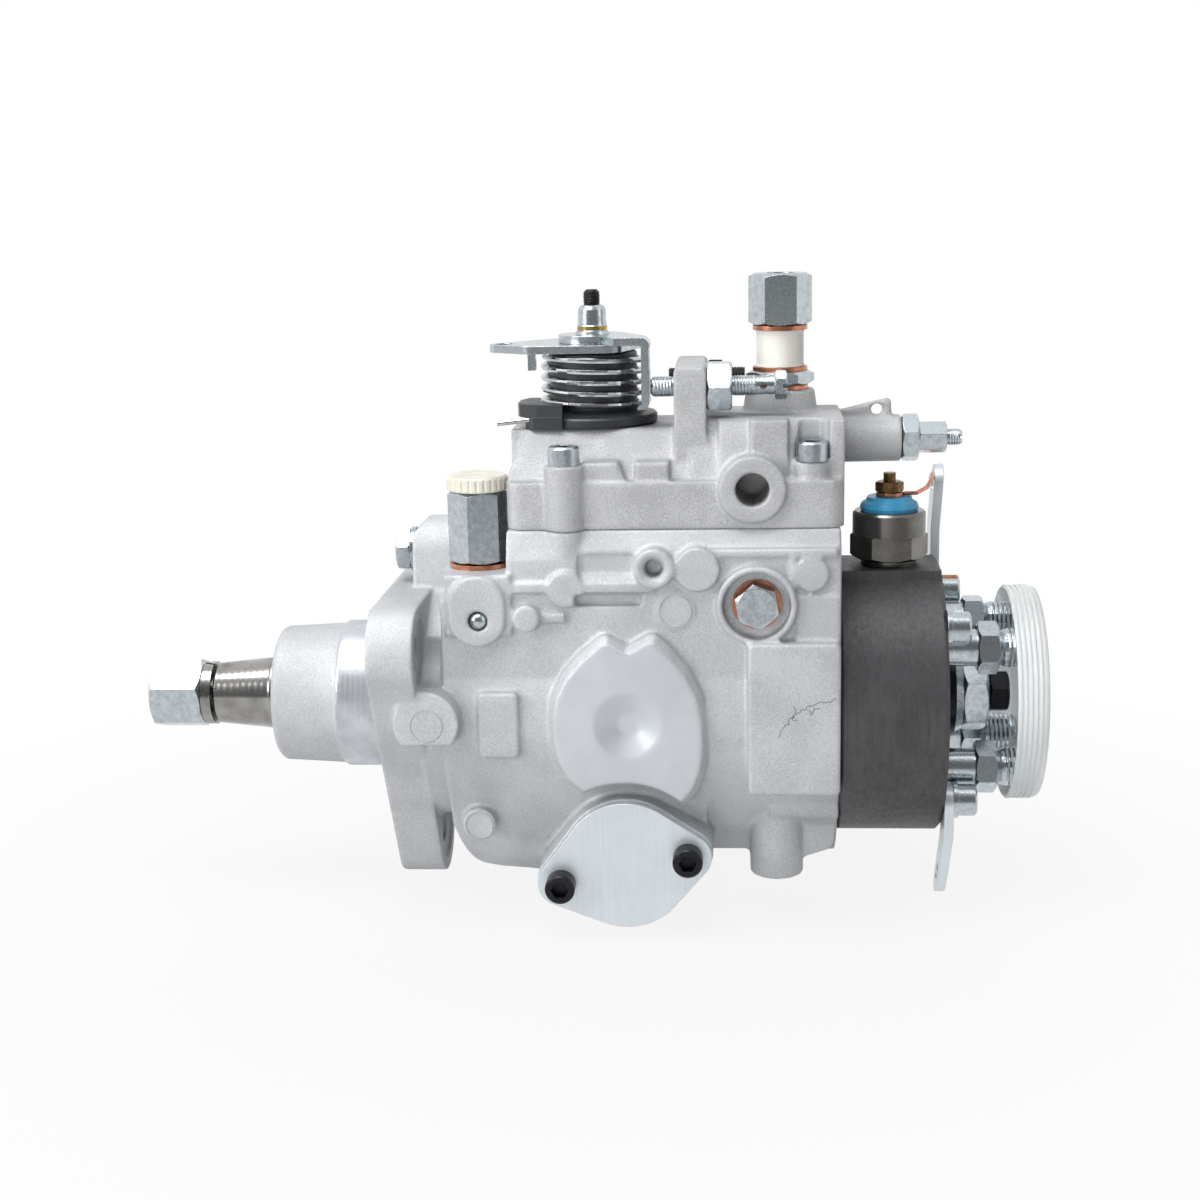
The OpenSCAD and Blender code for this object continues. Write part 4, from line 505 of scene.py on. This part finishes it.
def addCastSkin(node, patches, spec):
    obj = plainCopy(node, node + "_skin")
    cells = obj.modifiers.new("cells", "REMESH")
    cells.mode = "VOXEL"
    cells.voxel_size = spec["voxelMm"] * mm
    relax = obj.modifiers.new("relax", "SMOOTH")
    relax.factor = spec["relax"]
    relax.iterations = spec["relaxSteps"]
    thin = obj.modifiers.new("thin", "DECIMATE")
    thin.ratio = spec["keepShare"]
    applyModifiers(obj)
    obj.data.shade_smooth()
    paint(obj, baseOf[node], patches)
    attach(obj, "root")
    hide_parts(node)
    print(obj.name, "has", len(obj.data.polygons), "faces")


for node, patches in castSkin["nodes"].items():
    addCastSkin(node, patches, castSkin)

# Screw threads

# A ridge winds round each bare end that can be seen: place across the axis, span along it (mm)
threads = {
    "around": 24,
    "perTurn": 6,
    "heightShare": 0.3,  # of the pitch
    "outMm": 0.02,
    "screws": [
        {"node": "stop_screws", "axis": "x", "at": (-21, 106), "radius": 3, "pitch": 1,
         "finish": "zincPlatedSteel",
         "spans": {"near_stop_thread": (89.6, 96.4), "near_stop_thread_back": (114.9, 122.6)}},
        {"node": "stop_screws", "axis": "x", "at": (7.5, 106), "radius": 3, "pitch": 1,
         "finish": "blackOxideSteel",
         "spans": {"far_stop_thread": (94, 96.4), "far_stop_thread_back": (112, 118.9)}},
        {"node": "lever_shaft", "axis": "z", "at": (69.6, -5), "radius": 2.5, "pitch": 0.8,
         "finish": "blackOxideSteel",
         "spans": {"lever_stud_thread": (131.2, 135.2)}},
        {"node": "full_load_screw", "axis": "x", "at": (-4, 86.6), "radius": 2.5, "pitch": 0.8,
         "finish": "zincPlatedSteel",
         "spans": {"full_load_thread": (184.2, 188.2)}},
    ],
    "outletCircleRadius": 28.4,
    "outletSpan": (202, 211.2),
}
outletAt = threads["outletCircleRadius"] / math.sqrt(2)
for y, side in ((-1, "near"), (1, "far")):
    for z, height in ((-1, "low"), (1, "top")):
        threads["screws"].append({
            "node": "delivery_unions", "axis": "x", "at": (y * outletAt, z * outletAt), "radius": 6,
            "pitch": 1.5, "finish": "zincPlatedSteel",
            "spans": {f"union_thread_{side}_{height}": threads["outletSpan"]}})


def newPiece(name, points, faces, finishName, bodyOf):  # points in mm; it moves with bodyOf's body
    mesh = bpy.data.meshes.new(name)
    mesh.from_pydata([Vector(p) * mm for p in points], [], faces)
    mesh.validate()
    shape = bmesh.new()
    shape.from_mesh(mesh)
    bmesh.ops.recalc_face_normals(shape, faces=shape.faces)
    shape.to_mesh(mesh)
    shape.free()
    mesh.materials.append(finish[finishName])
    obj = bpy.data.objects.new(name, mesh)
    bpy.context.scene.collection.objects.link(obj)
    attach(obj, body_of(nodes[bodyOf])[0])


def addThread(name, span, spec, common):
    around, perTurn = common["around"], common["perTurn"]
    depth = spec["pitch"] * common["heightShare"]
    low, high = span
    rings = round((high - low) / spec["pitch"] * perTurn)
    points = []
    for i in range(rings + 1):
        along = low + (high - low) * i / rings
        ends = min(i, rings - i, perTurn) / perTurn  # the ridge fades in and out over one turn
        for k in range(around):
            turn = k / around
            phase = (i / perTurn - turn) % 1
            rise = (1 - abs(phase - 0.5) * 2) * depth * ends
            r = spec["radius"] + common["outMm"] + rise
            u = spec["at"][0] + r * math.cos(2 * math.pi * turn)
            v = spec["at"][1] + r * math.sin(2 * math.pi * turn)
            points.append((along, u, v) if spec["axis"] == "x" else (u, v, along))
    faces = [(i * around + k, i * around + (k + 1) % around, (i + 1) * around + (k + 1) % around,
              (i + 1) * around + k) for i in range(rings) for k in range(around)]
    faces += [tuple(range(around)), tuple(rings * around + k for k in range(around))]
    newPiece(name, points, faces, spec["finish"], spec["node"])


for spec in threads["screws"]:
    for name, span in spec["spans"].items():
        addThread(name, span, spec, threads)
print(sum(len(spec["spans"]) for spec in threads["screws"]), "threads cut")

# Pin rings

# Flat bosses keep a ring from the die's round pins; its centre is in mm along X, Y and Z
pinRings = {
    "halfWidthMm": 0.35,
    "crestShare": 0.5,  # of the width
    "standsOffMm": 0.22,
    "sunkMm": 0.3,
    "around": 64,
    "rows": {
        "pin_ring_flange": {"at": (17.7, -52, 3.1), "radius": 5.1},
        "pin_ring_low": {"at": (31.8, -40, -34), "radius": 4.4},
        "pin_ring_side": {"at": (96.6, -42.6, 37.9), "radius": 5},
    },
}


def addRing(name, spec, common):
    around, w, crest = common["around"], common["halfWidthMm"], common["halfWidthMm"] * common["crestShare"]
    sunk, out = common["sunkMm"], common["standsOffMm"]
    profile = [(-w, sunk), (-crest, -out), (crest, -out), (w, sunk)]
    x, y, z = spec["at"]
    points = [(x + (spec["radius"] + dr) * math.cos(2 * math.pi * k / around), y + dy,
               z + (spec["radius"] + dr) * math.sin(2 * math.pi * k / around))
              for k in range(around) for dr, dy in profile]
    faces = [(k * 4 + i, k * 4 + (i + 1) % 4, (k + 1) % around * 4 + (i + 1) % 4, (k + 1) % around * 4 + i)
             for k in range(around) for i in range(4)]
    newPiece(name, points, faces, "castAluminium", "pump_housing")


for name, spec in pinRings["rows"].items():
    addRing(name, spec, pinRings)
print(len(pinRings["rows"]), "pin rings raised")

# Handling marks

# Each fine mark on the casting's side is a thin ribbon that wanders between its points, in mm
# along X and Z
castMarks = {
    "halfWidthMm": 0.11,
    "standsOffMm": 0.05,
    "sunkMm": 0.3,
    "wanderMm": 0.45,
    "stepMm": 0.5,
    "seed": 7,
    "rows": {
        "pad_line": {"y": -48, "points": [(128.9, -1.3), (129.8, 0.3), (131.7, 3.2), (133.6, 5.5),
                                          (135.4, 6.5), (137.9, 8.1), (140.1, 8.8), (142.9, 9.7),
                                          (145.4, 9.7), (147, 11.4)]},
        "pad_branch": {"y": -48, "points": [(133.6, 7.8), (134.2, 6.2), (133, 4.2), (134.5, 3.2)]},
        "pad_loop": {"y": -48, "points": [(138.6, 7.1), (139.2, 5.8), (140.4, 7.5), (142.3, 8.1)]},
    },
}


def addMarks(name, spec, common, draw):
    path = []
    for (x0, z0), (x1, z1) in zip(spec["points"], spec["points"][1:]):
        steps = max(2, round(math.hypot(x1 - x0, z1 - z0) / common["stepMm"]))
        for i in range(steps):
            sway = [(draw.random() - 0.5) * 2 * common["wanderMm"] for _ in range(2)]
            path.append((x0 + (x1 - x0) * i / steps + sway[0], z0 + (z1 - z0) * i / steps + sway[1]))
    w = common["halfWidthMm"]
    points = []
    for i, (x, z) in enumerate(path):
        (xa, za), (xb, zb) = path[max(i - 1, 0)], path[min(i + 1, len(path) - 1)]
        long = math.hypot(xb - xa, zb - za) or 1
        nx, nz = -(zb - za) / long * w, (xb - xa) / long * w
        for y in (spec["y"] + common["sunkMm"], spec["y"] - common["standsOffMm"]):
            points += [(x - nx, y, z - nz), (x + nx, y, z + nz)]
    faces = []
    for i in range(len(path) - 1):
        a, b = i * 4, i * 4 + 4
        faces += [(a, a + 1, b + 1, b), (a + 2, b + 2, b + 3, a + 3),
                  (a, b, b + 2, a + 2), (a + 1, a + 3, b + 3, b + 1)]
    last = (len(path) - 1) * 4
    faces += [(0, 2, 3, 1), (last, last + 1, last + 3, last + 2)]
    newPiece(name, points, faces, "rubMark", "pump_housing")


draw = random.Random(castMarks["seed"])
for name, spec in castMarks["rows"].items():
    addMarks(name, spec, castMarks, draw)
print(len(castMarks["rows"]), "marks drawn")

# Floor, backdrop and lights

studio = {
    "backgroundHex": "#FFFFFF",
    "ambient": 0.15,
    "roomShare": 0.2,  # how bright the room in front of the pump looks in metal and clear plastic
    "roomBackdropY": (-0.75, -0.1),  # directions in which the backdrop turns from room to white
    "floor": {
        "hex": "#B4B4B4",
        "roughness": 0.9,
        "belowMm": 4,
        "halfMm": 4000,
        "roomMm": (-450, -120),  # where along Y it turns from room to white
        "shadowShare": 0.13,
        "shadowAtMm": (70, 0),
        "shadowReachMm": (100, 330),
    },
    "lamps": {
        "top": {"placeMm": (-150, -250, 900), "aimMm": (60, 0, 0), "sizeMm": (700, 500), "watts": 8},
        "left": {"placeMm": (-750, -520, 420), "aimMm": (60, 0, 20), "sizeMm": (400, 500), "watts": 5.6},
        "right": {"placeMm": (900, -300, 350), "aimMm": (100, 0, 20), "sizeMm": (300, 800), "watts": 0.8},
        "front": {"placeMm": (-150, -930, 60), "aimMm": (80, 0, 10), "sizeMm": (700, 300), "watts": 5.6,
                  "mirrored": False},
        "back": {"placeMm": (150, 900, 450), "aimMm": (80, 0, 10), "sizeMm": (700, 400), "watts": 4.5,
                 "mirrored": False},
    },
}


def whiteShare(tree, along, turns, roomShare):  # the camera sees white; metal and clear plastic see the room
    path = addNode(tree, "ShaderNodeLightPath")
    mirrored = addNode(tree, "ShaderNodeMath", {"operation": "MAXIMUM"},
                       {0: path.outputs["Is Glossy Ray"], 1: path.outputs["Is Transmission Ray"]})
    room = addNode(tree, "ShaderNodeMapRange",
                   {"From Min": turns[0], "From Max": turns[1], "To Min": roomShare, "To Max": 1},
                   {"Value": along})
    shown = addNode(tree, "ShaderNodeMath", {"operation": "MULTIPLY"},
                    {0: mirrored.outputs[0], 1: room.outputs["Result"]})
    return addNode(tree, "ShaderNodeMath", {"operation": "MAXIMUM"},
                   {0: shown.outputs[0], 1: path.outputs["Is Camera Ray"]}).outputs[0]


def addBackdrop(spec):
    world = bpy.data.worlds.new("studioWhite")
    world.use_nodes = True
    bpy.context.scene.world = world
    tree = world.node_tree
    place = addNode(tree, "ShaderNodeTexCoord").outputs["Generated"]
    towards = addNode(tree, "ShaderNodeSeparateXYZ", {}, {0: place})
    white = whiteShare(tree, towards.outputs["Y"], spec["roomBackdropY"], spec["roomShare"])
    level = addNode(tree, "ShaderNodeMath", {"operation": "MAXIMUM", 1: spec["ambient"]}, {0: white})
    light = tree.nodes["Background"]
    light.inputs["Color"].default_value = linear(spec["backgroundHex"])
    tree.links.new(level.outputs[0], light.inputs["Strength"])


def floorFinish(spec, floorSpec, low):
    mat = bpy.data.materials.new("paleFloor")
    mat.use_nodes = True
    tree = mat.node_tree
    plain = tree.nodes["Principled BSDF"]
    plain.inputs["Base Color"].default_value = linear(floorSpec["hex"])
    plain.inputs["Roughness"].default_value = floorSpec["roughness"]
    glow = addNode(tree, "ShaderNodeEmission", {"Color": linear(spec["backgroundHex"]), "Strength": 1})
    place = addNode(tree, "ShaderNodeTexCoord").outputs["Object"]
    # The shadow shows on the floor near the pump; far off the floor is as white as the backdrop
    x, y = (v * mm for v in floorSpec["shadowAtMm"])
    off = addNode(tree, "ShaderNodeVectorMath", {"operation": "DISTANCE", 1: (x, y, low)}, {0: place})
    near, gone = (v * mm for v in floorSpec["shadowReachMm"])
    faded = addNode(tree, "ShaderNodeMapRange",
                    {"From Min": near, "From Max": gone, "To Min": 1 - floorSpec["shadowShare"],
                     "To Max": 1},
                    {"Value": off.outputs["Value"]})
    towards = addNode(tree, "ShaderNodeSeparateXYZ", {}, {0: place})
    turns = [v * mm for v in floorSpec["roomMm"]]
    white = whiteShare(tree, towards.outputs["Y"], turns, spec["roomShare"])
    share = addNode(tree, "ShaderNodeMath", {"operation": "MULTIPLY"},
                    {0: white, 1: faded.outputs["Result"]})
    mix = addNode(tree, "ShaderNodeMixShader", {},
                  {0: share.outputs[0], 1: plain.outputs[0], 2: glow.outputs[0]})
    tree.links.new(mix.outputs[0], tree.nodes["Material Output"].inputs["Surface"])
    return mat


def addFloor(spec, floorSpec):
    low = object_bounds()[0][2] - floorSpec["belowMm"] * mm
    wide = floorSpec["halfMm"] * mm
    corners = [(x * wide, y * wide, low) for x, y in ((-1, -1), (1, -1), (1, 1), (-1, 1))]
    mesh = bpy.data.meshes.new("floor")
    mesh.from_pydata(corners, [], [(0, 1, 2, 3)])
    mesh.materials.append(floorFinish(spec, floorSpec, low))
    floor = bpy.data.objects.new("floor", mesh)
    bpy.context.scene.collection.objects.link(floor)
    floor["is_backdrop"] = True


def addLamp(name, lamp):
    data = bpy.data.lights.new(name, "AREA")
    data.shape = "RECTANGLE"
    data.size, data.size_y = (v * mm for v in lamp["sizeMm"])
    data.energy = lamp["watts"]
    obj = bpy.data.objects.new(name, data)
    obj.location = Vector(lamp["placeMm"]) * mm
    aim = Vector(lamp["aimMm"]) * mm - obj.location
    obj.rotation_euler = aim.to_track_quat("-Z", "Y").to_euler()
    obj.visible_glossy = lamp.get("mirrored", True)  # in a mirror, some would turn flat metal pure white
    bpy.context.scene.collection.objects.link(obj)


addBackdrop(studio)
addFloor(studio, studio["floor"])
for name, lamp in studio["lamps"].items():
    addLamp(name, lamp)
print("studio set,", len(studio["lamps"]), "lamps")
